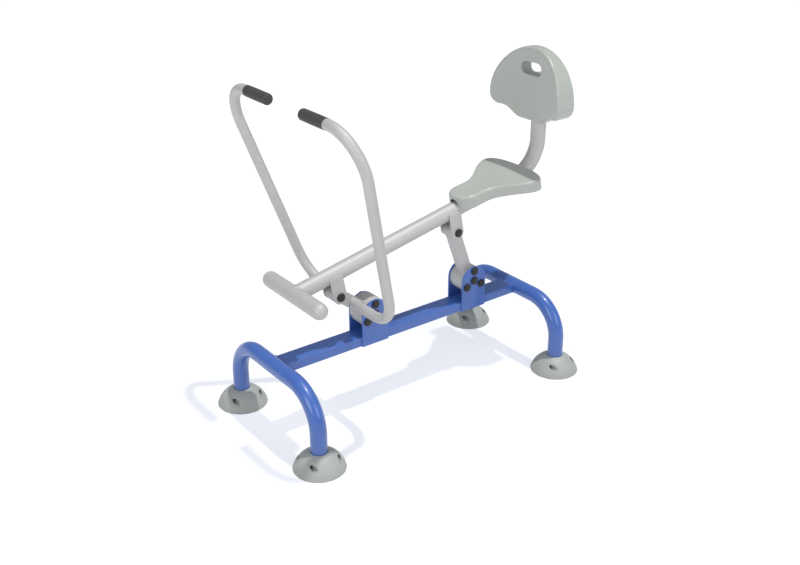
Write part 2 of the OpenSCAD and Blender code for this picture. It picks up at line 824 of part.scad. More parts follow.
// Both halves of an outline, from the half that runs from front middle to rear middle
function whole_ring(half) = concat([for (p = half) [p[0], -p[1]]],
    [for (i = [half_count - 1 : -1 : 1]) half[i]]);
// Inner points of the rungs across a ring
function rung_points(ring) = [for (i = [1 : half_count - 1], j = [1 : rung_count - 1])
    ring[i] + (ring[ring_count - i] - ring[i]) * j / rung_count];
function rung_index(base, inner, i, j) = j == 0 ? base + i
    : j == rung_count ? base + (ring_count - i) % ring_count
    : inner + (i - 1) * (rung_count - 1) + j - 1;
function rung_faces(base, inner) = concat(
    [for (j = [0 : rung_count - 1])
        [base, rung_index(base, inner, 1, j), rung_index(base, inner, 1, j + 1)]],
    [for (i = [1 : half_count - 2], j = [0 : rung_count - 1]) each [
        [rung_index(base, inner, i, j), rung_index(base, inner, i + 1, j),
            rung_index(base, inner, i + 1, j + 1)],
        [rung_index(base, inner, i, j), rung_index(base, inner, i + 1, j + 1),
            rung_index(base, inner, i, j + 1)]]],
    [for (j = [0 : rung_count - 1])
        [rung_index(base, inner, half_count - 1, j), base + half_count,
            rung_index(base, inner, half_count - 1, j + 1)]]);
function flip(faces) = [for (f = faces) [f[2], f[1], f[0]]];

// The lower end keeps the rungs flat, the upper end takes its points as given
module loft(rings, low_points, top_points) {
    levels = len(rings);
    low_base = levels * ring_count;
    top_base = low_base + len(low_points);
    polyhedron(
        points = concat([for (r = rings) each r], low_points, top_points),
        faces = concat(
            [for (k = [0 : levels - 2], i = [0 : ring_count - 1])
                let (a = k * ring_count + i, b = k * ring_count + (i + 1) % ring_count)
                each [[a, a + ring_count, b + ring_count], [a, b + ring_count, b]]],
            rung_faces(0, low_base),
            flip(rung_faces((levels - 1) * ring_count, top_base))),
        convexity = 6);
}

// Seat outline: a narrow nose that widens to the sitting part, with rounded ends
nose_round_share = 0.17;
rear_round_share = 0.16;
widen_from_share = 0.34;
widen_to_share = 0.86;
lip_from_share = 0.80;
lip_to_share = 0.90;
fall_from_share = 0.88;
rear_round_power = 2.6;
seat_third = half_count / 3;

// Shares of the length at which the outline has its points
seat_shares = [for (i = [0 : half_count])
    i < seat_third ? nose_round_share * (1 - cos(90 * i / seat_third))
    : i <= 2 * seat_third ? nose_round_share
        + (1 - nose_round_share - rear_round_share) * (i - seat_third) / seat_third
    : 1 - rear_round_share * (1 - sin(90 * (i - 2 * seat_third) / seat_third))];

function seat_half_w(u) =
    let (body = seat_nose_w / 2 + (seat_w - seat_nose_w) / 2
            * smooth((u - widen_from_share) / (widen_to_share - widen_from_share)),
        nose = max(0, 1 - u / nose_round_share),
        rear = max(0, 1 - (1 - u) / rear_round_share))
    body * sqrt(1 - nose * nose) * pow(max(0, 1 - pow(rear, rear_round_power)), 1 / rear_round_power);

// Place of the seat's nose, along the tube from the foot bar
seat_from_s = 735.3;
seat_half = [for (u = seat_shares) [seat_l * u, seat_half_w(u)]];
seat_ring = whole_ring(seat_half);
seat_under_h = seat_top_h - seat_skirt_h;
function seat_top(x) = seat_top_h
    + seat_lip_h * smooth((x / seat_l - lip_from_share) / (lip_to_share - lip_from_share))
    - seat_rear_fall * smooth((x / seat_l - fall_from_share) / (1 - fall_from_share));

edge_steps = 6;
function seat_rings(wall, low) = concat(
    [[for (p = inset(seat_ring, wall)) [p[0], p[1], low]]],
    [for (k = [0 : edge_steps]) let (a = 90 * k / edge_steps, r = seat_edge_r - wall)
        [for (p = inset(seat_ring, wall + r * (1 - cos(a))))
            [p[0], p[1], seat_top(p[0]) - wall - r * (1 - sin(a))]]]);

// Dish of the sitting face, deepest at its middle and gone at the edges
function dished(points, depth) = [for (i = [1 : half_count - 1], j = [1 : rung_count - 1])
    let (p = points[(i - 1) * (rung_count - 1) + j - 1],
        along = smooth(p[0] / seat_l / widen_from_share)
            * smooth((lip_from_share - p[0] / seat_l) / (lip_from_share - widen_from_share)),
        side = 4 * j * (rung_count - j) / (rung_count * rung_count))
    p - [0, 0, depth * along * side]];

module seat_solid(wall, low) {
    rings = seat_rings(wall, low);
    loft(rings, rung_points(rings[0]), dished(rung_points(rings[len(rings) - 1]), seat_dish));
}

// Seat mounting: a bracket plate on the tube, four bolts up into pads under the seat
bracket_t = 6;
bracket_l = 200;
bracket_w = 104;
bracket_from = 60;
gusset_t = 6;
gusset_low = 8;
bolt_inset = 22;
pad_d = 26;
seat_bolt_d = 8;
seat_bolt_l = 12;
bracket_low_h = seat_r;
bracket_top_h = seat_r + bracket_t;
seat_bolt_places = [for (x = [bracket_from + bolt_inset, bracket_from + bracket_l - bolt_inset],
    y = [-1, 1]) [x, y * (bracket_w / 2 - bolt_inset)]];

module on_seat() { on_slope(seat_from_s, 0) children(); }

module seat() {
    color(moulded) difference() {
        on_seat() union() {
            difference() {
                seat_solid(0, seat_under_h);
                seat_solid(seat_shell_t, seat_under_h - over);
            }
            for (p = seat_bolt_places) translate([p[0], p[1], bracket_top_h])
                cylinder(d = pad_d, h = seat_top_h - seat_shell_t / 2 - seat_dish - bracket_top_h);
        }
        seat_path(seat_r + seat_tube_room, 0);
        on_seat() for (p = seat_bolt_places) translate([p[0], p[1], bracket_top_h - over])
            cylinder(d = seat_bolt_d, h = over + seat_bolt_l - bracket_t);
    }
}

module seat_bracket() {
    color(steel) difference() {
        on_seat() union() {
            translate([bracket_from, -bracket_w / 2, bracket_low_h])
                cube([bracket_l, bracket_w, bracket_t]);
            for (x = [bracket_from, bracket_from + bracket_l - gusset_t])
                translate([x, -bracket_w / 2, gusset_low])
                    cube([gusset_t, bracket_w, bracket_low_h - gusset_low]);
        }
        seat_path(seat_r, 0);
        on_seat() for (p = seat_bolt_places) translate([p[0], p[1], bracket_low_h - over])
            cylinder(d = seat_bolt_d + 2 * bolt_clear, h = bracket_t + 2 * over);
    }
}

module seat_bolts() {
    color(zinc) on_seat() for (p = seat_bolt_places) translate([p[0], p[1], bracket_low_h]) {
        cylinder(d = seat_bolt_d, h = seat_bolt_l);
        translate([0, 0, -stop_head_h])
            cylinder(d = stop_head_across / cos(30), h = stop_head_h, $fn = 6);
    }
}

// Backrest outline: a half ellipse over two side lobes, with a lower middle
lobe_share = 0.79;
middle_from_share = 0.29;
middle_to_share = 0.71;
back_fall = 3;
back_half_w = back_w / 2;
arch_count = half_count / 2;
lobe_count = half_count / 4;
low_count = half_count - arch_count - lobe_count;

function back_low(y) = back_low_h + back_fall * y / back_half_w
    + (back_lobe_h - back_low_h - back_fall)
        * smooth((y / back_half_w - middle_from_share) / (middle_to_share - middle_from_share));

// Points [depth down from the top, half width], so that the loft's front end is the top
back_half = [for (i = [0 : half_count])
    i <= arch_count ? let (a = 90 * i / arch_count)
        [back_mid_drop * (1 - cos(a)), back_half_w * sin(a)]
    : i <= arch_count + lobe_count ? let (a = 90 * (i - arch_count) / lobe_count)
        [back_mid_drop + (back_mid_h - back_low(lobe_share * back_half_w)) * sin(a),
            back_half_w * (lobe_share + (1 - lobe_share) * cos(a))]
    : let (y = back_half_w * lobe_share * (half_count - i) / low_count)
        [back_top_h - back_low(y), y]];
back_ring = whole_ring(back_half);
back_rear = post_x;
function back_front(y) = back_t + back_hollow * y * y / (back_half_w * back_half_w);

back_rings = concat(
    [for (k = [0 : edge_steps]) let (a = 90 * (1 - k / edge_steps))
        [for (p = inset(back_ring, back_rear_r * (1 - cos(a))))
            [p[0], p[1], back_rear_r * (1 - sin(a))]]],
    [for (k = [0 : edge_steps]) let (a = 90 * k / edge_steps)
        [for (p = inset(back_ring, back_front_r * (1 - cos(a))))
            [p[0], p[1], back_front(p[1]) - back_front_r * (1 - sin(a))]]]);

module back_solid() {
    top = rung_points(back_rings[len(back_rings) - 1]);
    translate([back_rear, 0, back_top_h]) rotate([0, 90, 180])
        loft(back_rings, rung_points(back_rings[0]), [for (p = top) [p[0], p[1], back_front(p[1])]]);
}

sleeve_r = 38;
sleeve_cover = 15;
sleeve_top_h = post_top_h + sleeve_cover;
sleeve_round = 20;

module backrest() {
    color(moulded) difference() {
        union() {
            back_solid();
            translate([post_x, 0, back_low_h]) cylinder(r = sleeve_r, h = sleeve_top_h - back_low_h);
            translate([post_x, 0, sleeve_top_h]) intersection() {
                sphere(r = sleeve_r);
                cylinder(r = sleeve_r, h = sleeve_r);
            }
        }
        translate([post_x, 0, back_low_h - 2 * sleeve_r])
            cylinder(r = seat_r + cover_gap, h = post_top_h - back_low_h + 2 * sleeve_r + over);
        translate([0, 0, slot_mid_h]) rotate([0, 90, 0]) translate([0, 0, post_x - 2 * back_t])
            linear_extrude(4 * back_t) union() {
                square([slot_h, slot_l - slot_h], center = true);
                for (y = [-1, 1]) translate([0, y * (slot_l - slot_h) / 2]) circle(d = slot_h);
            }
        backrest_holes(backrest_bolt_d / 2 + bolt_clear);
    }
}

module backrest_bolts() {
    color(zinc) for (h = backrest_bolt_places) translate([post_x - seat_r, 0, h]) {
        rotate([0, 90, 0]) cylinder(d = backrest_bolt_d, h = seat_r + sleeve_r);
        translate([seat_r + sleeve_r, 0, 0]) rotate([0, 90, 0])
            cylinder(d = stop_head_across / cos(30), h = stop_head_h, $fn = 6);
    }
}

module post_plug() {
    plug_t = 3;
    color(black) translate([post_x, 0, post_top_h - plug_t])
        cylinder(r = seat_r - seat_wall, h = plug_t);
}

front_hoop();
rear_hoop();
main_beam();
foot_plates();
foot_cover_front_near();
foot_cover_front_far();
foot_cover_rear_near();
foot_cover_rear_far();
front_hub_plates();
rear_hub_plates();
axle_bolts();
axle_sleeves();
hub_spacers();
bearing_inner_rings();
stop_bolts();
stop_sleeves();
hub_nuts();
hub_caps();
front_drum_shell();
front_drum_discs();
front_bearing_tube();
front_bearing_outer_rings();
front_bearing_balls();
crank_arm();
crank_boss();
crank_bushes();
handle_tube();
grip_spigots();
grip_near();
grip_far();
rear_drum_shell();
rear_drum_discs();
rear_bearing_tube();
rear_bearing_outer_rings();
rear_bearing_balls();
link_tube();
link_boss();
link_bushes();
seat_tube();
foot_bar();
foot_bar_ends();
front_lug_plates();
rear_lug_plates();
lug_pins();
lug_nuts();
lug_caps();
seat_bracket();
seat_bolts();
seat();
backrest();
backrest_bolts();
post_plug();
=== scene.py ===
"""Outdoor rower, dressed for its picture.

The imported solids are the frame. Bent tubes, weld beads and bolt caps come from node trees,
the moulded seat, backrest and foot covers are softened skins, and plates get eased edges.
Metres, +Z up, +X towards the backrest, origin on the floor between the four feet.
"""

import json
import math

import bmesh
import bpy
from mathutils import Matrix, Vector

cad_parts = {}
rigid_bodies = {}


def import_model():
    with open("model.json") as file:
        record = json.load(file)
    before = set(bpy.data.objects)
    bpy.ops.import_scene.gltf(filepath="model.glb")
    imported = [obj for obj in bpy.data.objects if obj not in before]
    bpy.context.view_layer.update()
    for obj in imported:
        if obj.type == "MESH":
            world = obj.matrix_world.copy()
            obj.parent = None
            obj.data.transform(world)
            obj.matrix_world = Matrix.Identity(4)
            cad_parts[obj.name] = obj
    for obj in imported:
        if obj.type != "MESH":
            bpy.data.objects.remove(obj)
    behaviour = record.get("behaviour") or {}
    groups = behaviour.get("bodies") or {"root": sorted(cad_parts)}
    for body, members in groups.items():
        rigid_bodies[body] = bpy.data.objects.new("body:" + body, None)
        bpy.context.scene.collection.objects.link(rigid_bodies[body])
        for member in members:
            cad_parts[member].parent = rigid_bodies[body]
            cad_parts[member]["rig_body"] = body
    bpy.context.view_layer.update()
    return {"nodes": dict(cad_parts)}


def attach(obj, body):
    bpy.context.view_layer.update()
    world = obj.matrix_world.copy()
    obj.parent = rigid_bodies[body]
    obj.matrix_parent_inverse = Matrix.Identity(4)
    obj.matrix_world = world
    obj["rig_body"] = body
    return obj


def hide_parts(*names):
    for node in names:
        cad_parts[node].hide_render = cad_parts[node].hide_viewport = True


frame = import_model()
cad = frame["nodes"]

MM = 0.001

# Floor frame
HOOP_X = 566.5 * MM
LEG_Y = 268.7 * MM
HOOP_R = 30.15 * MM
HOOP_H = 277.7 * MM
HOOP_BEND = 143 * MM
FOOT_PLATE_TOP = 8 * MM
COVER_R = 95 * MM
COVER_DOME_R = 98.6 * MM
COVER_HOLE_R = 12 * MM
COVER_HOLE_X = 52.3 * MM
COVER_HOLE_H = 38.8 * MM
BEAM_HALF_W = 38.1 * MM
BEAM_HALF_H = 19.05 * MM
BEAM_CORNER = 4 * MM

# Hubs, arm and link
HUB_XZ = {"front": Vector((-160 * MM, 378.9 * MM)), "rear": Vector((318.3 * MM, 378.9 * MM))}
HUB_PLATE_HALF_W = 58.5 * MM
HUB_PLATE_OUT = 44.45 * MM
DRUM_R = 54.5 * MM
FRONT_DRUM_R = 59.2 * MM
DRUM_WALL = 4.5 * MM
DRUM_HALF = 37.5 * MM
STOP_CIRCLE_R = 41.4 * MM
STOP_ANGLES = (90, 210, 330)
ARM_HALF = 22.5 * MM
ARM_CORNER = 5 * MM
BOSS_R = 26 * MM

# Seat frame: the tube leaves the foot bar, rises along its slope and turns up into the post
SEAT_TUBE_R = 30.15 * MM
FOOT_BAR_XZ = Vector((-475 * MM, 533.5 * MM))
FOOT_BAR_HALF = 158.5 * MM
SLOPE = math.radians(11.72)
SLOPE_DIR = Vector((math.cos(SLOPE), math.sin(SLOPE)))
SLOPE_UP = Vector((-math.sin(SLOPE), math.cos(SLOPE)))
COPE_START = 9 * MM
SEAT_BEND = 143 * MM
POST_X = 667 * MM
POST_TOP = 1100 * MM
LUG_AT = {"front": 157 * MM, "rear": 711 * MM}
LUG_DROP = 80 * MM
LUG_HALF_W = 27 * MM
LUG_OUT = 36.5 * MM

# Seat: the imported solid's top and rim over the tube, and the plane that its skin is moved to.
# Each span is two shares of the length from the nose, with a soft step between them.
SEAT_FROM = 735.3 * MM
SEAT_LENGTH = 346 * MM
SEAT_RIM = 3.3 * MM
PACKED_TOP = 48.3 * MM
PACKED_LIP = 14 * MM
PACKED_REAR_FALL = 16 * MM
LIP_SPAN = (0.80, 0.90)
REAR_FALL_SPAN = (0.88, 1.0)
SEAT_NOSE_TOP = 58 * MM
SEAT_FALL = 17.5 * MM
SEAT_LEVEL_FROM = 0.8
SKIRT_FALL = 12 * MM
SKIRT_SPAN = (0.6, 1.0)
NOSE_SLIMMING = 0.14
SLIM_SPAN = (0.25, 0.72)
NOSE_ROUND_SPAN = (0.25, 0.55)
REAR_ROUND_SPAN = (0.78, 0.92)
ROUND_FROM = 26 * MM
ROUND_FULL = 38 * MM

# Handle frame, in its own leaning plane
HANDLE_R = 19.05 * MM
HANDLE_STATION = 105 * MM
HANDLE_LEAN = math.radians(16.9)
HANDLE_RISE = 801 * MM
HANDLE_LOW_HALF = 265.2 * MM
HANDLE_SPLAY = math.radians(11.2)
HANDLE_LOW_BEND = 148 * MM
HANDLE_TOP_BEND = 140 * MM
GRIP_OUTER = 243.4 * MM
GRIP_LENGTH = 141 * MM
GRIP_R = 20 * MM

# Bolt caps and weld beads
CAP_R = 16.4 * MM
CAP_BOLT_ROOM_R = 10.4 * MM
CAP_BOLT_ROOM_H = 6.3 * MM
CAP_TOP = 10 * MM
BEAD_R = 2.6 * MM
BEAD_OUT = 0.3 * MM
RIPPLE_PITCH = 3.2 * MM
RIPPLE_HEIGHT = 0.35 * MM

# Edges that turn more than this stay hard
HARD_EDGE = math.radians(35)
MOULDED_EDGE = math.radians(60)


# Shader writing


class Wire:
    """A value or colour travelling through a material, which can be added and multiplied."""

    def __init__(self, finish, socket):
        self.finish = finish
        self.socket = socket

    def _math(self, operation, first, second):
        return self.finish.add("ShaderNodeMath", {"operation": operation}, {0: first, 1: second})

    def __add__(self, other):
        return self._math("ADD", self, other)

    def __radd__(self, other):
        return self._math("ADD", other, self)

    def __sub__(self, other):
        return self._math("SUBTRACT", self, other)

    def __rsub__(self, other):
        return self._math("SUBTRACT", other, self)

    def __mul__(self, other):
        return self._math("MULTIPLY", self, other)

    def __rmul__(self, other):
        return self._math("MULTIPLY", other, self)

    def __truediv__(self, other):
        return self._math("DIVIDE", self, other)

    def __rtruediv__(self, other):
        return self._math("DIVIDE", other, self)

    def __pow__(self, other):
        return self._math("POWER", self, other)

    def __rpow__(self, other):
        return self._math("POWER", other, self)

    def at_most(self, other):
        return self._math("MINIMUM", self, other)

    def at_least(self, other):
        return self._math("MAXIMUM", self, other)


class Finish:
    """A procedural material and the one way in which nodes are added to it."""

    def __init__(self, name):
        self.material = bpy.data.materials.new(name)
        self.material.use_nodes = True
        self.tree = self.material.node_tree
        self.tree.nodes.clear()
        self.place = self.add("ShaderNodeTexCoord", out="Object")

    def add(self, kind, settings=None, sockets=None, out=0):
        """A node with its settings and inputs, as a wire from one of its outputs."""
        node = self.tree.nodes.new(kind)
        for name, value in (settings or {}).items():
            if name == "stops":
                ramp = node.color_ramp
                while len(ramp.elements) < len(value):
                    ramp.elements.new(1)
                for element, (position, colour) in zip(ramp.elements, value):
                    element.position = position
                    element.color = (*colour, 1)
            else:
                setattr(node, name, value)
        for name, value in (sockets or {}).items():
            if isinstance(value, Wire):
                self.tree.links.new(value.socket, node.inputs[name])
            else:
                node.inputs[name].default_value = value
        return Wire(self, node.outputs[out]) if node.outputs else node

    def noise(self, scale, detail=2, roughness=0.5, place=None):
        """Soft noise from 0 to 1, with so many cells to the metre."""
        return self.add(
            "ShaderNodeTexNoise",
            sockets={"Vector": place or self.place, "Scale": scale, "Detail": detail,
                     "Roughness": roughness},
        )

    def cells(self, scale, feature="F1", out="Distance"):
        """Scattered cells, so many to the metre."""
        return self.add(
            "ShaderNodeTexVoronoi", {"feature": feature},
            {"Vector": self.place, "Scale": scale}, out,
        )

    def ramp(self, value, *stops):
        """A grey or coloured ramp over a value."""
        shaped = [(p, (c, c, c) if isinstance(c, (int, float)) else c) for p, c in stops]
        return self.add("ShaderNodeValToRGB", {"stops": shaped}, {"Fac": value})

    def mix(self, share, first, second):
        """A colour between two colours."""
        sockets = {0: share}
        for index, colour in ((6, first), (7, second)):
            sockets[index] = colour if isinstance(colour, Wire) else (*colour, 1)
        return self.add("ShaderNodeMix", {"data_type": "RGBA"}, sockets, 2)

    def height(self):
        """Height over the floor, in metres."""
        return self.add("ShaderNodeSeparateXYZ", sockets={0: self.place}, out="Z")

    def dust(self, top, scale):
        """Dust from the floor that has thinned out to nothing at a height."""
        return (1 - self.height() / top).at_least(0) * self.noise(scale, 5, 0.65)

    def bump(self, height, depth, strength):
        """Relief of this depth in metres."""
        return self.add(
            "ShaderNodeBump",
            sockets={"Height": height, "Distance": depth, "Strength": strength},
        )

    def close(self, **sockets):
        """The surface shader. Names are the shader's own, with spaces as underscores."""
        shader = self.add(
            "ShaderNodeBsdfPrincipled",
            sockets={name.replace("_", " "): value for name, value in sockets.items()},
        )
        self.add("ShaderNodeOutputMaterial", sockets={"Surface": shader})
        return self.material


def powder_coat(name, colour, pale, dusty, metallic, roughness, coat, tooth):
    """Stoved powder coat: orange peel, faint unevenness, scuffs and dust low down."""
    f = Finish(name)
    peel = f.noise(260, 3, 0.55)
    fleck = f.noise(900, 2, 0.7)
    cloud = f.noise(9, 4, 0.6)
    scuff = f.ramp(f.noise(34, 6, 0.72), (0.62, 0), (0.74, 1))
    dust = f.dust(160 * MM, 40)
    tone = f.mix(cloud, colour, pale)
    tone = f.mix((fleck - 0.5) * tooth + 0.1, tone, pale)
    tone = f.mix(scuff * 0.08, tone, pale)
    tone = f.mix((dust * 0.35).at_most(0.3), tone, dusty)
    rough = roughness + (cloud - 0.5) * 0.10 + scuff * 0.10 + dust * 0.2
    grain = f.bump(peel + fleck * tooth, 0.00016, 0.55)
    return f.close(
        Base_Color=tone, Metallic=metallic, Roughness=rough, Normal=grain,
        Coat_Weight=(coat - scuff * 0.12 - dust * 0.2).at_least(0), Coat_Roughness=0.06,
    )


def moulded_plastic(name, colour, shade, pale, roughness):
    """Rotation-moulded plastic: fine pimpled skin, mottled and specked, with dust low down."""
    f = Finish(name)
    pimples = f.cells(900, "SMOOTH_F1")
    grain = f.noise(1500, 2)
    mottle = f.noise(28, 5, 0.62)
    cloud = f.noise(6, 3, 0.5)
    specks = f.ramp(f.noise(420, 2, 0.5), (0.70, 0), (0.76, 1))
    dust = f.dust(50 * MM, 60)
    tone = f.mix(mottle, shade, pale)
    tone = f.mix(0.55, tone, colour)
    tone = f.mix(cloud * 0.25, tone, shade)
    tone = f.mix(specks * 0.22, tone, shade)
    tone = f.mix((dust * 0.5).at_most(0.4), tone, (0.34, 0.33, 0.29))
    rough = roughness + (mottle - 0.5) * 0.06 + dust * 0.3
    skin = f.bump(pimples * 0.8 + grain * 0.6, 0.00014, 0.4)
    return f.close(Base_Color=tone, Roughness=rough, Normal=skin)


def cap_plastic():
    """Black snap-on bolt caps, satin, with faint moulding swirls and greyed by the weather."""
    f = Finish("black cap plastic")
    swirl = f.noise(120, 3, 0.6)
    grain = f.noise(2400, 2)
    bloom = f.ramp(f.noise(70, 5, 0.7), (0.5, 0), (0.8, 1))
    tone = f.mix(swirl, (0.012, 0.012, 0.013), (0.022, 0.022, 0.024))
    tone = f.mix(bloom * 0.25, tone, (0.055, 0.055, 0.057))
    return f.close(
        Base_Color=tone, Roughness=0.34 + bloom * 0.14 + (swirl - 0.5) * 0.06,
        Specular_IOR_Level=0.35,
        Normal=f.bump(grain, 0.0001, 0.4),
    )


def grip_foam():
    """Dense rubber foam: open pores, and patches polished by hands."""
    f = Finish("dark grip rubber")
    pores = f.cells(1300)
    lumps = f.noise(300, 4, 0.6)
    polish = f.noise(22, 3, 0.5)
    tone = f.mix(lumps, (0.040, 0.040, 0.041), (0.070, 0.070, 0.071))
    tone = f.mix(f.ramp(pores, (0.1, 1), (0.35, 0)) * 0.35, tone, (0.022, 0.022, 0.022))
    return f.close(
        Base_Color=tone, Roughness=0.72 + (lumps - 0.5) * 0.14 - polish * 0.08,
        Normal=f.bump(pores * 0.7 + lumps * 0.5, 0.00025, 0.7),
    )


def zinc_plate():
    """Bright zinc on steel: crystal flakes, dull spots of white bloom."""
    f = Finish("zinc on steel")
    flakes = f.cells(260, out="Color")
    grey = f.add("ShaderNodeRGBToBW", sockets={0: flakes})
    bloom = f.ramp(f.noise(90, 5, 0.65), (0.55, 0), (0.75, 1))
    tone = f.mix(grey, (0.46, 0.48, 0.50), (0.66, 0.67, 0.69))
    tone = f.mix(bloom * 0.4, tone, (0.60, 0.61, 0.61))
    return f.close(
        Base_Color=tone, Metallic=0.9 - bloom * 0.3, Roughness=0.30 + grey * 0.14 + bloom * 0.2,
        Normal=f.bump(f.noise(700, 3), 0.00012, 0.4),
    )


def bearing_steel():
    """Ground steel: fine turning marks round the hub axis, a film of grease."""
    f = Finish("ground bearing steel")
    stretch = f.add(
        "ShaderNodeMapping", sockets={"Vector": f.place, "Scale": (0.2, 6, 0.2)})
    marks = f.noise(1200, 3, 0.6, stretch)
    grease = f.noise(80, 4, 0.6)
    tone = f.mix(marks, (0.55, 0.56, 0.58), (0.72, 0.73, 0.75))
    tone = f.mix(grease * 0.3, tone, (0.40, 0.37, 0.30))
    return f.close(
        Base_Color=tone, Metallic=1.0, Roughness=0.20 + marks * 0.10 + grease * 0.12,
        Normal=f.bump(marks, 0.00004, 0.4),
    )


BLUE_COAT = powder_coat(
    "blue powder coat", (0.045, 0.124, 0.448), (0.061, 0.151, 0.498), (0.26, 0.29, 0.36),
    metallic=0.0, roughness=0.36, coat=0.40, tooth=0.2,
)
SILVER_COAT = powder_coat(
    "silver powder coat", (0.455, 0.455, 0.457), (0.560, 0.560, 0.562), (0.40, 0.40, 0.39),
    metallic=0.22, roughness=0.55, coat=0.0, tooth=0.8,
)
GREY_MOULDING = moulded_plastic(
    "grey green moulding", (0.460, 0.490, 0.465), (0.410, 0.440, 0.415), (0.500, 0.530, 0.505),
    roughness=0.30,
)
# The foot covers take a darker, rougher copy of the grey moulding
FOOT_MOULDING = moulded_plastic(
    "weathered foot moulding", (0.395, 0.420, 0.405), (0.350, 0.375, 0.360), (0.435, 0.460, 0.445),
    roughness=0.50,
)
BLACK_CAP = cap_plastic()
GRIP_FOAM = grip_foam()
ZINC = zinc_plate()
BEARING_STEEL = bearing_steel()

SLOT_FINISH = {
    "blue_paint": BLUE_COAT,
    "silver_paint": SILVER_COAT,
    "grey_moulding": GREY_MOULDING,
    "black_plastic": BLACK_CAP,
    "dark_rubber": GRIP_FOAM,
    "zinc_steel": ZINC,
    "bearing_steel": BEARING_STEEL,
}

# Finishes on the solids that stay

cad_slots = {}
for name, obj in cad.items():
    cad_slots[name] = obj.material_slots[0].material.name.split(".")[0]
    for material_slot in obj.material_slots:
        material_slot.material = SLOT_FINISH[cad_slots[name]]


# Node trees for what repeats or follows a path


class Growth:
    """A geometry node tree with named inputs."""

    def __init__(self, name):
        self.group = bpy.data.node_groups.new(name, "GeometryNodeTree")
        self.sockets = {}
        self.named("Geometry", "NodeSocketGeometry")
        self.group.interface.new_socket("Geometry", in_out="OUTPUT",
                                        socket_type="NodeSocketGeometry")
        self.entry = self.group.nodes.new("NodeGroupInput")

    def named(self, name, kind="NodeSocketFloat"):
        item = self.group.interface.new_socket(name, in_out="INPUT", socket_type=kind)
        self.sockets[name] = item.identifier

    def input(self, name):
        return self.entry.outputs[name]

    def add(self, kind, settings=None, sockets=None, out=0):
        node = self.group.nodes.new(kind)
        for name, value in (settings or {}).items():
            setattr(node, name, value)
        for name, value in (sockets or {}).items():
            if isinstance(value, bpy.types.NodeSocket):
                self.group.links.new(value, node.inputs[name])
            else:
                node.inputs[name].default_value = value
        return node.outputs[out] if node.outputs else node

    def end(self, geometry):
        """Realized, smooth and painted, as the export needs it."""
        smooth = self.add("GeometryNodeSetShadeSmooth", sockets={"Geometry": geometry})
        real = self.add("GeometryNodeRealizeInstances", sockets={"Geometry": smooth})
        painted = self.add(
            "GeometryNodeSetMaterial",
            sockets={"Geometry": real, "Material": self.input("Material")},
        )
        self.add("NodeGroupOutput", sockets={"Geometry": painted})


def bent_tube_tree():
    """A closed tube along a path."""
    grow = Growth("bent tube")
    grow.named("Outer Radius")
    grow.named("Sides", "NodeSocketInt")
    grow.named("Material", "NodeSocketMaterial")
    ring = grow.add(
        "GeometryNodeCurvePrimitiveCircle",
        sockets={"Resolution": grow.input("Sides"), "Radius": grow.input("Outer Radius")},
    )
    path = grow.add("GeometryNodeMeshToCurve", sockets={"Mesh": grow.input("Geometry")})
    tube = grow.add(
        "GeometryNodeCurveToMesh",
        sockets={"Curve": path, "Profile Curve": ring, "Fill Caps": True},
    )
    grow.end(tube)
    return grow


def weld_bead_tree():
    """A bead along each path, rippled by the torch."""
    grow = Growth("weld bead")
    for name in ("Bead Radius", "Ripple Pitch", "Ripple Height"):
        grow.named(name)
    grow.named("Material", "NodeSocketMaterial")
    points_per_ripple = 4.0
    path = grow.add("GeometryNodeMeshToCurve", sockets={"Mesh": grow.input("Geometry")})
    step = grow.add(
        "ShaderNodeMath", {"operation": "DIVIDE"},
        {0: grow.input("Ripple Pitch"), 1: points_per_ripple},
    )
    even = grow.add(
        "GeometryNodeResampleCurve", {"mode": "LENGTH"}, {"Curve": path, "Length": step}
    )
    along = grow.add("GeometryNodeSplineParameter", out="Length")
    marked = grow.add(
        "GeometryNodeStoreNamedAttribute", {"data_type": "FLOAT", "domain": "POINT"},
        {"Geometry": even, "Name": "along", "Value": along},
    )
    ring = grow.add(
        "GeometryNodeCurvePrimitiveCircle",
        sockets={"Resolution": 10, "Radius": grow.input("Bead Radius")},
    )
    bead = grow.add(
        "GeometryNodeCurveToMesh",
        sockets={"Curve": marked, "Profile Curve": ring, "Fill Caps": True},
    )
    read = grow.add(
        "GeometryNodeInputNamedAttribute", {"data_type": "FLOAT"}, {"Name": "along"}
    )
    turns = grow.add(
        "ShaderNodeMath", {"operation": "DIVIDE"}, {0: read, 1: grow.input("Ripple Pitch")}
    )
    phase = grow.add("ShaderNodeMath", {"operation": "MULTIPLY"}, {0: turns, 1: math.pi})
    wave = grow.add("ShaderNodeMath", {"operation": "SINE"}, {0: phase})
    crest = grow.add("ShaderNodeMath", {"operation": "ABSOLUTE"}, {0: wave})
    unsteady = grow.add("ShaderNodeTexNoise", sockets={"Scale": 90.0, "Detail": 2.0})
    swell = grow.add("ShaderNodeMath", {"operation": "ADD"}, {0: crest, 1: unsteady})
    push = grow.add(
        "ShaderNodeMath", {"operation": "MULTIPLY"}, {0: swell, 1: grow.input("Ripple Height")}
    )
    facing = grow.add("GeometryNodeInputNormal")
    offset = grow.add(
        "ShaderNodeVectorMath", {"operation": "SCALE"}, {0: facing, "Scale": push}
    )
    rippled = grow.add(
        "GeometryNodeSetPosition", sockets={"Geometry": bead, "Offset": offset}
    )
    grow.end(rippled)
    return grow


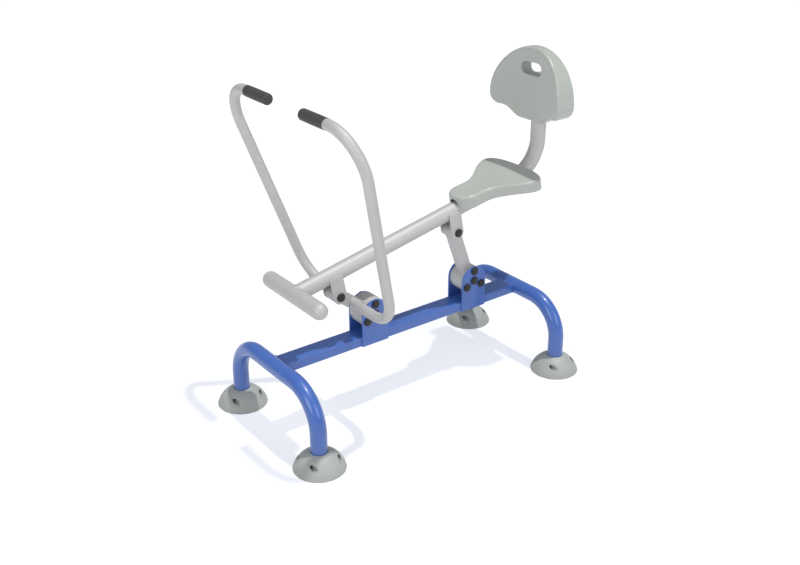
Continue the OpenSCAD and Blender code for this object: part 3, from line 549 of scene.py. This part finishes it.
def cap_rows_tree():
    """A bolt cap on each point, its top towards the point's facing, turned at random."""
    grow = Growth("bolt caps")
    grow.named("Cap", "NodeSocketObject")
    grow.named("Turn Seed", "NodeSocketInt")
    grow.named("Material", "NodeSocketMaterial")
    points = grow.add("GeometryNodeMeshToPoints", sockets={"Mesh": grow.input("Geometry")})
    cap = grow.add(
        "GeometryNodeObjectInfo", sockets={"Object": grow.input("Cap")}, out="Geometry"
    )
    facing = grow.add(
        "GeometryNodeInputNamedAttribute", {"data_type": "FLOAT_VECTOR"}, {"Name": "facing"}
    )
    upright = grow.add(
        "FunctionNodeAlignRotationToVector", {"axis": "Z"}, {"Vector": facing}
    )
    rows = grow.add(
        "GeometryNodeInstanceOnPoints",
        sockets={"Points": points, "Instance": cap, "Rotation": upright},
    )
    turn = grow.add(
        "FunctionNodeRandomValue", {"data_type": "FLOAT"},
        {2: 0.0, 3: math.tau, "Seed": grow.input("Turn Seed")}, 1,
    )
    spin = grow.add("ShaderNodeCombineXYZ", sockets={"Z": turn})
    turned = grow.add(
        "GeometryNodeRotateInstances", sockets={"Instances": rows, "Rotation": spin}
    )
    grow.end(turned)
    return grow


# Mesh helpers


def new_object(name, data):
    obj = bpy.data.objects.new(name, data)
    bpy.context.scene.collection.objects.link(obj)
    return obj


def from_mesh(name, bm, finish=None):
    mesh = bpy.data.meshes.new(name)
    bm.to_mesh(mesh)
    bm.free()
    if finish:
        mesh.materials.append(finish)
    return new_object(name, mesh)


def settled(obj, sharp=HARD_EDGE):
    """The object's modifiers made into its mesh; sharp is the angle of the edges kept hard."""
    bpy.context.view_layer.update()
    depsgraph = bpy.context.evaluated_depsgraph_get()
    mesh = bpy.data.meshes.new_from_object(obj.evaluated_get(depsgraph))
    mesh.name = obj.name
    obj.modifiers.clear()
    obj.data = mesh
    for attribute in ("along", "facing"):
        if attribute in mesh.attributes:
            mesh.attributes.remove(mesh.attributes[attribute])
    if sharp:
        mesh.polygons.foreach_set("use_smooth", [True] * len(mesh.polygons))
        mesh.set_sharp_from_angle(angle=sharp)
    return obj


def grown(name, paths, grow, closed=False, facing=None, **inputs):
    """Paths or points turned into a plain mesh by a node tree."""
    bm = bmesh.new()
    for path in paths:
        verts = [bm.verts.new(p) for p in path]
        for a, b in zip(verts, verts[1:]):
            bm.edges.new((a, b))
        if closed:
            bm.edges.new((verts[-1], verts[0]))
    obj = from_mesh(name, bm)
    if facing:
        layer = obj.data.attributes.new("facing", "FLOAT_VECTOR", "POINT")
        layer.data.foreach_set("vector", [c for v in facing for c in v])
    modifier = obj.modifiers.new("growth", "NODES")
    modifier.node_group = grow.group
    for key, value in inputs.items():
        modifier[grow.sockets[key.replace("_", " ")]] = value
    return settled(obj)


def bent_path(corners, radii, step=math.radians(3)):
    """A path through corners, each inner one rounded to its radius."""
    path = [corners[0]]
    for before, corner, after, radius in zip(corners, corners[1:], corners[2:], radii):
        into = (corner - before).normalized()
        out = (after - corner).normalized()
        turn = into.angle(out)
        start = corner - into * radius * math.tan(turn / 2)
        side = (out - into * into.dot(out)).normalized()
        count = max(2, round(turn / step))
        for i in range(count + 1):
            a = turn * i / count
            path.append(start + into * radius * math.sin(a) + side * radius * (1 - math.cos(a)))
    path.append(corners[-1])
    return path


def skinned(bm, rings, looped):
    """Faces between rings of one length, and from the last to the first where they loop."""
    for one, two in zip(rings, rings[1:] + (rings[:1] if looped else [])):
        for k in range(len(one)):
            n = (k + 1) % len(one)
            bm.faces.new((one[k], one[n], two[n], two[k]))


def lathe(name, profile, finish, segments):
    """A profile of (radius, height) turned round Z; its ends meet the axis or each other."""
    on_axis = 1e-9
    bm = bmesh.new()
    rings = []
    for radius, height in profile:
        if radius < on_axis:
            rings.append([bm.verts.new((0, 0, height))])
        else:
            rings.append([
                bm.verts.new((radius * math.cos(a), radius * math.sin(a), height))
                for a in (math.tau * k / segments for k in range(segments))
            ])
    for low, high in zip(rings, rings[1:] + rings[:1]):
        if len(low) == len(high):
            if len(low) > 1:
                skinned(bm, [low, high], False)
            continue
        for k in range(segments):
            n = (k + 1) % segments
            if len(low) == 1:
                bm.faces.new((low[0], high[n], high[k]))
            else:
                bm.faces.new((low[k], low[n], high[0]))
    bmesh.ops.recalc_face_normals(bm, faces=bm.faces)
    return settled(from_mesh(name, bm, finish))


def laid(obj, matrix):
    """Puts an object's place into its mesh."""
    obj.data.transform(matrix)
    return obj


def copy_of(node, name, finish):
    """A merged copy of a CAD node's mesh, with one material."""
    bm = bmesh.new()
    bm.from_mesh(cad[node].data)
    bmesh.ops.remove_doubles(bm, verts=bm.verts, dist=0.01 * MM)
    return from_mesh(name, bm, finish)


def eased(node, finish, width):
    """A plate or block with its hard edges eased, in place of its CAD node."""
    flat_below, hard_above = math.radians(0.5), math.radians(40)
    obj = copy_of(node, f"{node}_eased", finish)
    bm = bmesh.new()
    bm.from_mesh(obj.data)
    bmesh.ops.dissolve_limit(bm, angle_limit=flat_below, verts=bm.verts, edges=bm.edges)
    for face in bm.faces:
        face.smooth = True
    bm.to_mesh(obj.data)
    bm.free()
    bevel = obj.modifiers.new("eased edges", "BEVEL")
    bevel.width = width
    bevel.segments = 2
    bevel.limit_method = "ANGLE"
    bevel.angle_limit = hard_above
    flat = obj.modifiers.new("flat faces stay flat", "WEIGHTED_NORMAL")
    flat.keep_sharp = False
    settled(obj, None)
    dressed(obj, node)


def relaxed(obj, rounds, group=""):
    """Adds a smoothing of so many rounds, weighted by a vertex group if it has a name."""
    relax = obj.modifiers.new("relaxed", "SMOOTH")
    relax.factor = 0.5
    relax.iterations = rounds
    relax.vertex_group = group


def softened(node, finish, voxel, rounds, softer=None, softer_rounds=0, shift=None):
    """A moulded skin: the solid remeshed evenly, then relaxed so its edges and blends round off.

    By place, shift moves a vertex, and softer is the share in which it takes the further rounds.
    """
    obj = copy_of(node, f"{node}_skin", finish)
    remesh = obj.modifiers.new("even skin", "REMESH")
    remesh.mode = "VOXEL"
    remesh.voxel_size = voxel
    relaxed(obj, rounds)
    if softer:
        settled(obj, MOULDED_EDGE)
        shares = obj.vertex_groups.new(name="softer")
        for vertex in obj.data.vertices:
            vertex.co += shift(vertex.co)
            share = softer(vertex.co)
            if share > 0:
                shares.add([vertex.index], share, "REPLACE")
        relaxed(obj, softer_rounds, shares.name)
    settled(obj, MOULDED_EDGE)
    obj.vertex_groups.clear()
    obj.data.materials.clear()
    obj.data.materials.append(finish)
    dressed(obj, node)


def dressed(obj, *nodes):
    """Rides on the body of the nodes that it stands for, and hides them."""
    body = cad[nodes[0]]["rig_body"]
    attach(obj, body)
    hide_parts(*nodes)
    slot_of(nodes[0])


def slot_of(node):
    """The finish slot that a CAD node came with."""
    return cad_slots[node]


# Camera

camera_data = bpy.data.cameras.new("camera")
camera_data.sensor_width = 36
camera_data.lens = 47.29
camera = new_object("camera", camera_data)
camera.location = (-2.1675, -2.8489, 2.1506)
camera.rotation_euler = (math.radians(64.525), 0, math.radians(-37.096))
bpy.context.scene.camera = camera

# Bent tubes

TUBES = bent_tube_tree()


def tube(node, path, radius, finish):
    """One bent tube in place of its CAD node."""
    obj = grown(f"{node}_bent", [path], TUBES, Outer_Radius=radius, Sides=56, Material=finish)
    dressed(obj, node)


for node, x in (("front_hoop", -HOOP_X), ("rear_hoop", HOOP_X)):
    corners = [Vector((x, y, z)) for y, z in (
        (-LEG_Y, FOOT_PLATE_TOP), (-LEG_Y, HOOP_H), (LEG_Y, HOOP_H), (LEG_Y, FOOT_PLATE_TOP))]
    tube(node, bent_path(corners, [HOOP_BEND] * 2), HOOP_R, BLUE_COAT)


def on_tube(s, h, y=0.0):
    """A place on the seat tube: along it from the foot bar, above its middle, and sideways."""
    at = FOOT_BAR_XZ + SLOPE_DIR * s + SLOPE_UP * h
    return Vector((at[0], y, at[1]))


PIVOT = {end: on_tube(s, -LUG_DROP) for end, s in LUG_AT.items()}
HUB = {end: Vector((xz[0], 0, xz[1])) for end, xz in HUB_XZ.items()}
ARM_DIR = {end: (PIVOT[end] - HUB[end]).normalized() for end in HUB}
ARM_UP = {end: Vector((-d[2], 0, d[0])) for end, d in ARM_DIR.items()}

handle_at = HUB["front"] + ARM_DIR["front"] * HANDLE_STATION
handle_up = Vector((-math.sin(HANDLE_LEAN), 0, math.cos(HANDLE_LEAN)))
handle_top_half = HANDLE_LOW_HALF + HANDLE_RISE * math.tan(HANDLE_SPLAY)


def on_handle(across, up):
    """A place in the handle's leaning plane, from the middle of its low stretch."""
    return handle_at + Vector((0, across, 0)) + handle_up * up


handle_corners = [on_handle(u, v) for u, v in (
    (-GRIP_OUTER, HANDLE_RISE), (-handle_top_half, HANDLE_RISE), (-HANDLE_LOW_HALF, 0),
    (HANDLE_LOW_HALF, 0), (handle_top_half, HANDLE_RISE), (GRIP_OUTER, HANDLE_RISE))]
tube(
    "handle_tube",
    bent_path(handle_corners,
              [HANDLE_TOP_BEND, HANDLE_LOW_BEND, HANDLE_LOW_BEND, HANDLE_TOP_BEND]),
    HANDLE_R, SILVER_COAT,
)

tube_corner = on_tube((POST_X - FOOT_BAR_XZ[0]) / math.cos(SLOPE), 0)
tube(
    "seat_tube",
    bent_path([on_tube(COPE_START, 0), tube_corner, Vector((POST_X, 0, POST_TOP))], [SEAT_BEND]),
    SEAT_TUBE_R, SILVER_COAT,
)


# Foot bar and grips, turned

TO_Y = Matrix.Rotation(math.radians(-90), 4, "X")


def dome_end(radius, start, sign, steps=12):
    """Quarter circle from the side of a bar to its axis, going up or down."""
    return [
        (radius * math.cos(a), start + sign * radius * math.sin(a))
        for a in (math.pi / 2 * k / steps for k in range(steps + 1))
    ]


bar = dome_end(SEAT_TUBE_R, FOOT_BAR_HALF, 1)[::-1] + dome_end(SEAT_TUBE_R, -FOOT_BAR_HALF, -1)
foot_bar = lathe("foot_bar_capsule", bar, SILVER_COAT, 64)
laid(foot_bar, Matrix.Translation((FOOT_BAR_XZ[0], 0, FOOT_BAR_XZ[1])) @ TO_Y)
dressed(foot_bar, "foot_bar", "foot_bar_ends")


def grip_profile():
    """Foam sleeve: rounded closed end, a slight swell in the hand, an eased collar at the tube."""
    end_r, swell, collar = 8 * MM, 0.3 * MM, 3 * MM
    end_steps, side_steps = 8, 16
    profile = [(0, 0)]
    profile += [
        (GRIP_R - end_r + end_r * math.sin(a), end_r * (1 - math.cos(a)))
        for a in (math.pi / 2 * k / end_steps for k in range(end_steps + 1))
    ]
    side = GRIP_LENGTH - collar - end_r
    profile += [
        (GRIP_R + swell * math.sin(math.pi * k / side_steps) ** 2, end_r + side * k / side_steps)
        for k in range(1, side_steps + 1)
    ]
    profile += [(GRIP_R - 0.4 * MM, GRIP_LENGTH - 1.2 * MM), (GRIP_R - 1.4 * MM, GRIP_LENGTH)]
    profile += [(0, GRIP_LENGTH)]
    return profile


for node, side in (("grip_near", -1), ("grip_far", 1)):
    grip = lathe(f"{node}_foam", grip_profile(), GRIP_FOAM, 48)
    start = on_handle(side * (GRIP_OUTER - GRIP_LENGTH), HANDLE_RISE)
    laid(grip, Matrix.Translation(start) @ Matrix.Rotation(math.radians(-90 * side), 4, "X"))
    dressed(grip, node)

# Plates, drums and square tubes with eased edges

for node in ("front_hub_plates", "rear_hub_plates"):
    eased(node, BLUE_COAT, 0.9 * MM)
eased("main_beam", BLUE_COAT, 0.5 * MM)
for node in ("rear_drum_shell", "crank_arm", "link_tube", "crank_boss", "link_boss",
             "front_lug_plates", "rear_lug_plates", "seat_bracket"):
    eased(node, SILVER_COAT, 0.8 * MM)
for node in ("crank_bushes", "link_bushes"):
    eased(node, BLACK_CAP, 0.4 * MM)

# The front drum fills its plates up to their rim, a little further than the rear one
ease = 0.9 * MM
nip = 0.3 * ease
band = [
    (DRUM_R - DRUM_WALL, -DRUM_HALF), (FRONT_DRUM_R - ease, -DRUM_HALF),
    (FRONT_DRUM_R - nip, -DRUM_HALF + nip), (FRONT_DRUM_R, -DRUM_HALF + ease),
    (FRONT_DRUM_R, DRUM_HALF - ease), (FRONT_DRUM_R - nip, DRUM_HALF - nip),
    (FRONT_DRUM_R - ease, DRUM_HALF), (DRUM_R - DRUM_WALL, DRUM_HALF),
]
front_drum = laid(lathe("front_drum_band", band, SILVER_COAT, 96),
                  Matrix.Translation(HUB["front"]) @ TO_Y)
dressed(front_drum, "front_drum_shell")

# Moulded pieces


def ease_in(value, start, end):
    """0 up to the start, 1 from the end, and a soft step between them."""
    t = min(1, max(0, (value - start) / (end - start)))
    return t * t * (3 - 2 * t)


def on_seat(place):
    """Share of the seat's length from its nose, and height over the tube's middle."""
    out = Vector((place[0], place[2])) - FOOT_BAR_XZ
    return (out.dot(SLOPE_DIR) - SEAT_FROM) / SEAT_LENGTH, out.dot(SLOPE_UP)


def packed_top(along):
    """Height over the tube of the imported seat's top, with the lip that its skin hasn't."""
    lip = PACKED_LIP * ease_in(along, *LIP_SPAN)
    rear_fall = PACKED_REAR_FALL * ease_in(along, *REAR_FALL_SPAN)
    return PACKED_TOP + (lip - rear_fall)


def levelled(place):
    """The seat's skin moved to one flat sitting plane, with a slim nose and a lower rear skirt."""
    along, above = on_seat(place)
    plane = SEAT_NOSE_TOP - SEAT_FALL * min(along, SEAT_LEVEL_FROM)
    depth = packed_top(along) - SEAT_RIM
    rise = (above - SEAT_RIM) * ((plane - SEAT_RIM) / depth - 1)
    lowness = min(max(1 - (above - SEAT_RIM) / depth, 0), 1)
    rise -= SKIRT_FALL * ease_in(along, *SKIRT_SPAN) * lowness
    slim = NOSE_SLIMMING * (1 - ease_in(along, *SLIM_SPAN))
    return Vector((SLOPE_UP[0] * rise, -place[1] * slim, SLOPE_UP[1] * rise))


def round_share(place):
    """1 on the upper edge of the seat's nose, less round its rear, 0 between and under them."""
    along, above = on_seat(place)
    upper = ease_in(above, ROUND_FROM, ROUND_FULL)
    nose, rear = 1 - ease_in(along, *NOSE_ROUND_SPAN), ease_in(along, *REAR_ROUND_SPAN)
    return max(nose * upper, rear * (0.5 - 0.3 * upper))


softened("seat", GREY_MOULDING, 2.0 * MM, 6,
         softer=round_share, softer_rounds=80, shift=levelled)


def nose_shade_collar():
    """Black collar over the tube just inside the seat's nose, painted shade: a dark piece standing
    in for the shade in the gap where the tube enters the seat.
    """
    inner, outer = SEAT_TUBE_R + 0.1 * MM, 41 * MM
    inner_from, outer_from, thick = 9 * MM, 12 * MM, 5 * MM
    start_angle, arc, steps = math.radians(24), math.radians(132), 40
    section = ((inner, inner_from), (outer, outer_from), (outer, outer_from + thick),
               (inner, inner_from + thick))
    bm = bmesh.new()
    rings = []
    for k in range(steps + 1):
        a = start_angle + arc * k / steps
        rings.append([
            bm.verts.new(on_tube(SEAT_FROM + inside, r * math.sin(a), r * math.cos(a)))
            for r, inside in section
        ])
    skinned(bm, rings, False)
    bm.faces.new(rings[0])
    bm.faces.new(rings[-1])
    bmesh.ops.recalc_face_normals(bm, faces=bm.faces)
    obj = settled(from_mesh("seat_nose_gasket", bm, BLACK_CAP))
    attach(obj, "seat_frame")


# A black collar at the seat's nose, painted shade in the gap round the tube
nose_shade_collar()
softened("backrest", GREY_MOULDING, 2.4 * MM, 8)
for end in ("front", "rear"):
    for side in ("near", "far"):
        softened(f"foot_cover_{end}_{side}", FOOT_MOULDING, 1.5 * MM, 5)


def cover_passage(bm, centre, x):
    """Lining of a hole through a foot cover from side to side, its ends flush with the dome."""
    sunk, outer, wall, steps = 0.6 * MM, COVER_HOLE_R + 0.3 * MM, 2.9 * MM, 40
    inner = outer - wall
    drop = math.sqrt(COVER_DOME_R**2 - COVER_R**2)
    rings = []
    for radius, side in ((inner, -1), (outer, -1), (outer, 1), (inner, 1)):
        ring = []
        for k in range(steps):
            a = math.tau * k / steps
            px, pz = x + radius * math.cos(a), COVER_HOLE_H + radius * math.sin(a)
            reach = math.sqrt((COVER_DOME_R - sunk)**2 - px**2 - (pz + drop)**2)
            ring.append(bm.verts.new(centre + Vector((px, side * reach, pz))))
        rings.append(ring)
    skinned(bm, rings, True)


linings = bmesh.new()
for foot_x in (-HOOP_X, HOOP_X):
    for foot_y in (-LEG_Y, LEG_Y):
        for x in (-COVER_HOLE_X, COVER_HOLE_X):
            cover_passage(linings, Vector((foot_x, foot_y, 0)), x)
bmesh.ops.recalc_face_normals(linings, faces=linings.faces)
passages = settled(from_mesh("foot_cover_passages", linings, FOOT_MOULDING))
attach(passages, "base")

# Bolt caps


def cap_profile():
    """Snap-on cap: a base ring, a hairline seam and a low dome over the bolt head."""
    seam_r, dome_r, dome_from, dome_steps = CAP_R - 0.5 * MM, CAP_R - 0.2 * MM, 4.1 * MM, 9
    profile = [(CAP_BOLT_ROOM_R, 0), (CAP_R - 0.6 * MM, 0), (CAP_R, 0.6 * MM),
               (CAP_R, 3.1 * MM), (seam_r, 3.4 * MM), (seam_r, 3.8 * MM)]
    profile += [
        (dome_r * math.cos(a), dome_from + (CAP_TOP - dome_from) * math.sin(a))
        for a in (math.pi / 2 * k / dome_steps for k in range(dome_steps + 1))
    ]
    return profile + [(0, CAP_BOLT_ROOM_H), (CAP_BOLT_ROOM_R, CAP_BOLT_ROOM_H)]


CAPS = cap_rows_tree()
cap_piece = lathe("cap_piece", cap_profile(), BLACK_CAP, 32)


def cap_set(name, node, places, seed):
    """A cap on both sides of each place, so far out from the middle plane."""
    points, facing = [], []
    for place, out in places:
        for side in (-1, 1):
            points.append([place + Vector((0, side * out, 0))])
            facing.append((0, side, 0))
    obj = grown(name, points, CAPS, facing=facing, Cap=cap_piece, Turn_Seed=seed,
                Material=BLACK_CAP)
    dressed(obj, node)


hub_places = []
for end in HUB:
    hub_places.append((HUB[end], HUB_PLATE_OUT))
    for angle in STOP_ANGLES:
        a = math.radians(angle)
        spot = HUB[end] + STOP_CIRCLE_R * Vector((math.cos(a), 0, math.sin(a)))
        hub_places.append((spot, HUB_PLATE_OUT))
cap_set("hub_cap_set", "hub_caps", hub_places, 3)
cap_set("lug_cap_set", "lug_caps", [(PIVOT[end], LUG_OUT) for end in PIVOT], 5)
bpy.data.objects.remove(cap_piece)

# Weld beads

WELDS = weld_bead_tree()


def section_rim(half_w, half_h, corner):
    """Points (across, up) round the section of a rectangular tube with round corners."""
    flat_w, flat_h, steps = half_w - corner, half_h - corner, 6
    for across, up, start in ((flat_w, flat_h, 0), (-flat_w, flat_h, 90),
                              (-flat_w, -flat_h, 180), (flat_w, -flat_h, 270)):
        for k in range(steps + 1):
            a = math.radians(start + 90 / steps * k)
            yield across + corner * math.cos(a), up + corner * math.sin(a)


def beam_welds():
    """Round the beam where it is coped to a hoop."""
    rim = list(section_rim(BEAM_HALF_W, BEAM_HALF_H, BEAM_CORNER))
    for end in (-1, 1):
        yield [
            Vector((end * (HOOP_X - math.sqrt(HOOP_R**2 - pz**2) - BEAD_OUT), py, HOOP_H + pz))
            for py, pz in rim
        ]


def plate_welds():
    """Up both edges of each hub plate, on the beam's side."""
    half, steps = BEAM_HALF_H - 2 * MM, 8
    low, high = HOOP_H - half, HOOP_H + half
    for hub in HUB.values():
        for side in (-1, 1):
            y = side * (BEAM_HALF_W + BEAD_OUT)
            for edge in (-1, 1):
                x = hub[0] + edge * (HUB_PLATE_HALF_W + BEAD_OUT)
                yield [Vector((x, y, low + (high - low) * k / steps)) for k in range(steps + 1)]


def arm_rim(end, centre, radius, toward):
    """Where the square tube meets a round drum or boss of this radius round a centre."""
    return [
        centre + ARM_DIR[end] * toward * math.sqrt(radius**2 - v**2) + ARM_UP[end] * v
        + Vector((0, y, 0)) for y, v in section_rim(ARM_HALF, ARM_HALF, ARM_CORNER)
    ]


def handle_rims():
    """Round the handle tube on both faces of the arm."""
    proud, steps = 0.4 * MM, 40
    r = HANDLE_R + proud
    for side in (-1, 1):
        yield [
            handle_at + Vector((r * math.cos(a), side * (ARM_HALF + proud), r * math.sin(a)))
            for a in (math.tau * k / steps for k in range(steps))
        ]


def foot_bar_rim():
    """Saddle where the seat tube meets the foot bar."""
    r, steps = SEAT_TUBE_R + 0.2 * MM, 48
    return [
        on_tube(r * abs(math.sin(a)), r * math.cos(a), r * math.sin(a))
        for a in (math.tau * k / steps for k in range(steps))
    ]


def lug_edges():
    """Along the top of each lug plate, against the tube."""
    out, rise, steps = SEAT_TUBE_R + 1.5 * MM, 1.6 * MM, 12
    for s in LUG_AT.values():
        for side in (-1, 1):
            yield [
                on_tube(s + LUG_HALF_W * (2 * k / steps - 1), rise, side * out)
                for k in range(steps + 1)
            ]


def weld_set(name, body, finish, closed_paths, open_paths=()):
    """The weld beads of one body: rings round joints, and straight runs if there are any."""
    for part, paths, closed in (("rims", closed_paths, True), ("edges", open_paths, False)):
        if paths:
            obj = grown(
                f"{name}_{part}", paths, WELDS, closed=closed, Bead_Radius=BEAD_R,
                Ripple_Pitch=RIPPLE_PITCH, Ripple_Height=RIPPLE_HEIGHT, Material=finish)
            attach(obj, body)


weld_set("base_welds", "base", BLUE_COAT, beam_welds(), plate_welds())
weld_set("handle_welds", "handle_frame", SILVER_COAT, [
    arm_rim("front", HUB["front"], FRONT_DRUM_R, 1), arm_rim("front", PIVOT["front"], BOSS_R, -1),
    *handle_rims()])
weld_set("link_welds", "rear_link", SILVER_COAT, [
    arm_rim("rear", HUB["rear"], DRUM_R, 1), arm_rim("rear", PIVOT["rear"], BOSS_R, -1)])
weld_set("seat_frame_welds", "seat_frame", SILVER_COAT, [foot_bar_rim()],
         lug_edges())

# Floor, light and sky


def floor_finish():
    """White studio floor: shown white, with the soft shadow left on it."""
    white, shadow_tint, tint_until, glow_share = (1, 1, 1), (0.865, 0.898, 0.98), 1.4, 0.52
    f = Finish("studio floor")
    rays = f.add("ShaderNodeLightPath").socket.node
    camera_ray, glossy_ray, clear_ray = (Wire(f, rays.outputs[kind]) for kind in (
        "Is Camera Ray", "Is Glossy Ray", "Is Transmission Ray"))
    share = (camera_ray + glossy_ray + clear_ray).at_most(1) * glow_share
    out = f.add("ShaderNodeVectorMath", {"operation": "LENGTH"}, {0: f.place}, "Value")
    tint = f.mix((out - tint_until).at_least(0).at_most(1), shadow_tint, white)
    grain = f.noise(40, 3)
    plain = f.add("ShaderNodeBsdfDiffuse", sockets={
        "Color": f.mix(grain * 0.02, (0.80, 0.80, 0.80), (0.78, 0.78, 0.78)), "Roughness": 0.4})
    glow = f.add("ShaderNodeEmission", sockets={
        "Color": f.mix(camera_ray, white, tint), "Strength": 1.37})
    both = f.add("ShaderNodeMixShader", sockets={0: share, 1: plain, 2: glow})
    f.add("ShaderNodeOutputMaterial", sockets={"Surface": both})
    return f.material


FLOOR_HALF = 30
FLOOR_DROP = 0.5 * MM
slab = bmesh.new()
bmesh.ops.create_grid(slab, x_segments=8, y_segments=8, size=FLOOR_HALF)
floor = laid(from_mesh("floor", slab, floor_finish()), Matrix.Translation((0, 0, -FLOOR_DROP)))


def turned_to(direction):
    """The turn of a lamp that shines from this direction."""
    return direction.to_track_quat("Z", "Y").to_euler()


sun_data = bpy.data.lights.new("key", "SUN")
sun_data.energy = 1.95
sun_data.angle = math.radians(1.4)
sun_data.color = (1.0, 0.99, 0.97)
new_object("key", sun_data).rotation_euler = turned_to(Vector((0.20, -0.09, 1)))


def soft_lamp(name, place, power):
    """A round soft lamp, turned to the middle of the rower."""
    data = bpy.data.lights.new(name, "AREA")
    data.shape = "DISK"
    data.size = 3.6
    data.energy = power
    lamp = new_object(name, data)
    lamp.location = place
    lamp.rotation_euler = turned_to(Vector(place) - Vector((0, 0, 0.6)))


soft_lamp("left", (-5.6, -2.2, 3.2), 128)
soft_lamp("right", (1.4, -5.6, 3.4), 96)

world = bpy.data.worlds.new("studio")
bpy.context.scene.world = world
world.use_nodes = True
sky = world.node_tree
sky.nodes.clear()


def background(colour, strength):
    node = sky.nodes.new("ShaderNodeBackground")
    node.inputs["Color"].default_value = (*colour, 1)
    node.inputs["Strength"].default_value = strength
    return node


# White to the camera, and a dim light from all round to everything else
rays = sky.nodes.new("ShaderNodeLightPath")
shown = background((1, 1, 1), 1.0)
light = background((0.97, 0.985, 1.0), 0.32)
either = sky.nodes.new("ShaderNodeMixShader")
out = sky.nodes.new("ShaderNodeOutputWorld")
sky.links.new(rays.outputs["Is Camera Ray"], either.inputs[0])
sky.links.new(light.outputs[0], either.inputs[1])
sky.links.new(shown.outputs[0], either.inputs[2])
sky.links.new(either.outputs[0], out.inputs["Surface"])

bpy.context.scene.view_settings.view_transform = "Standard"
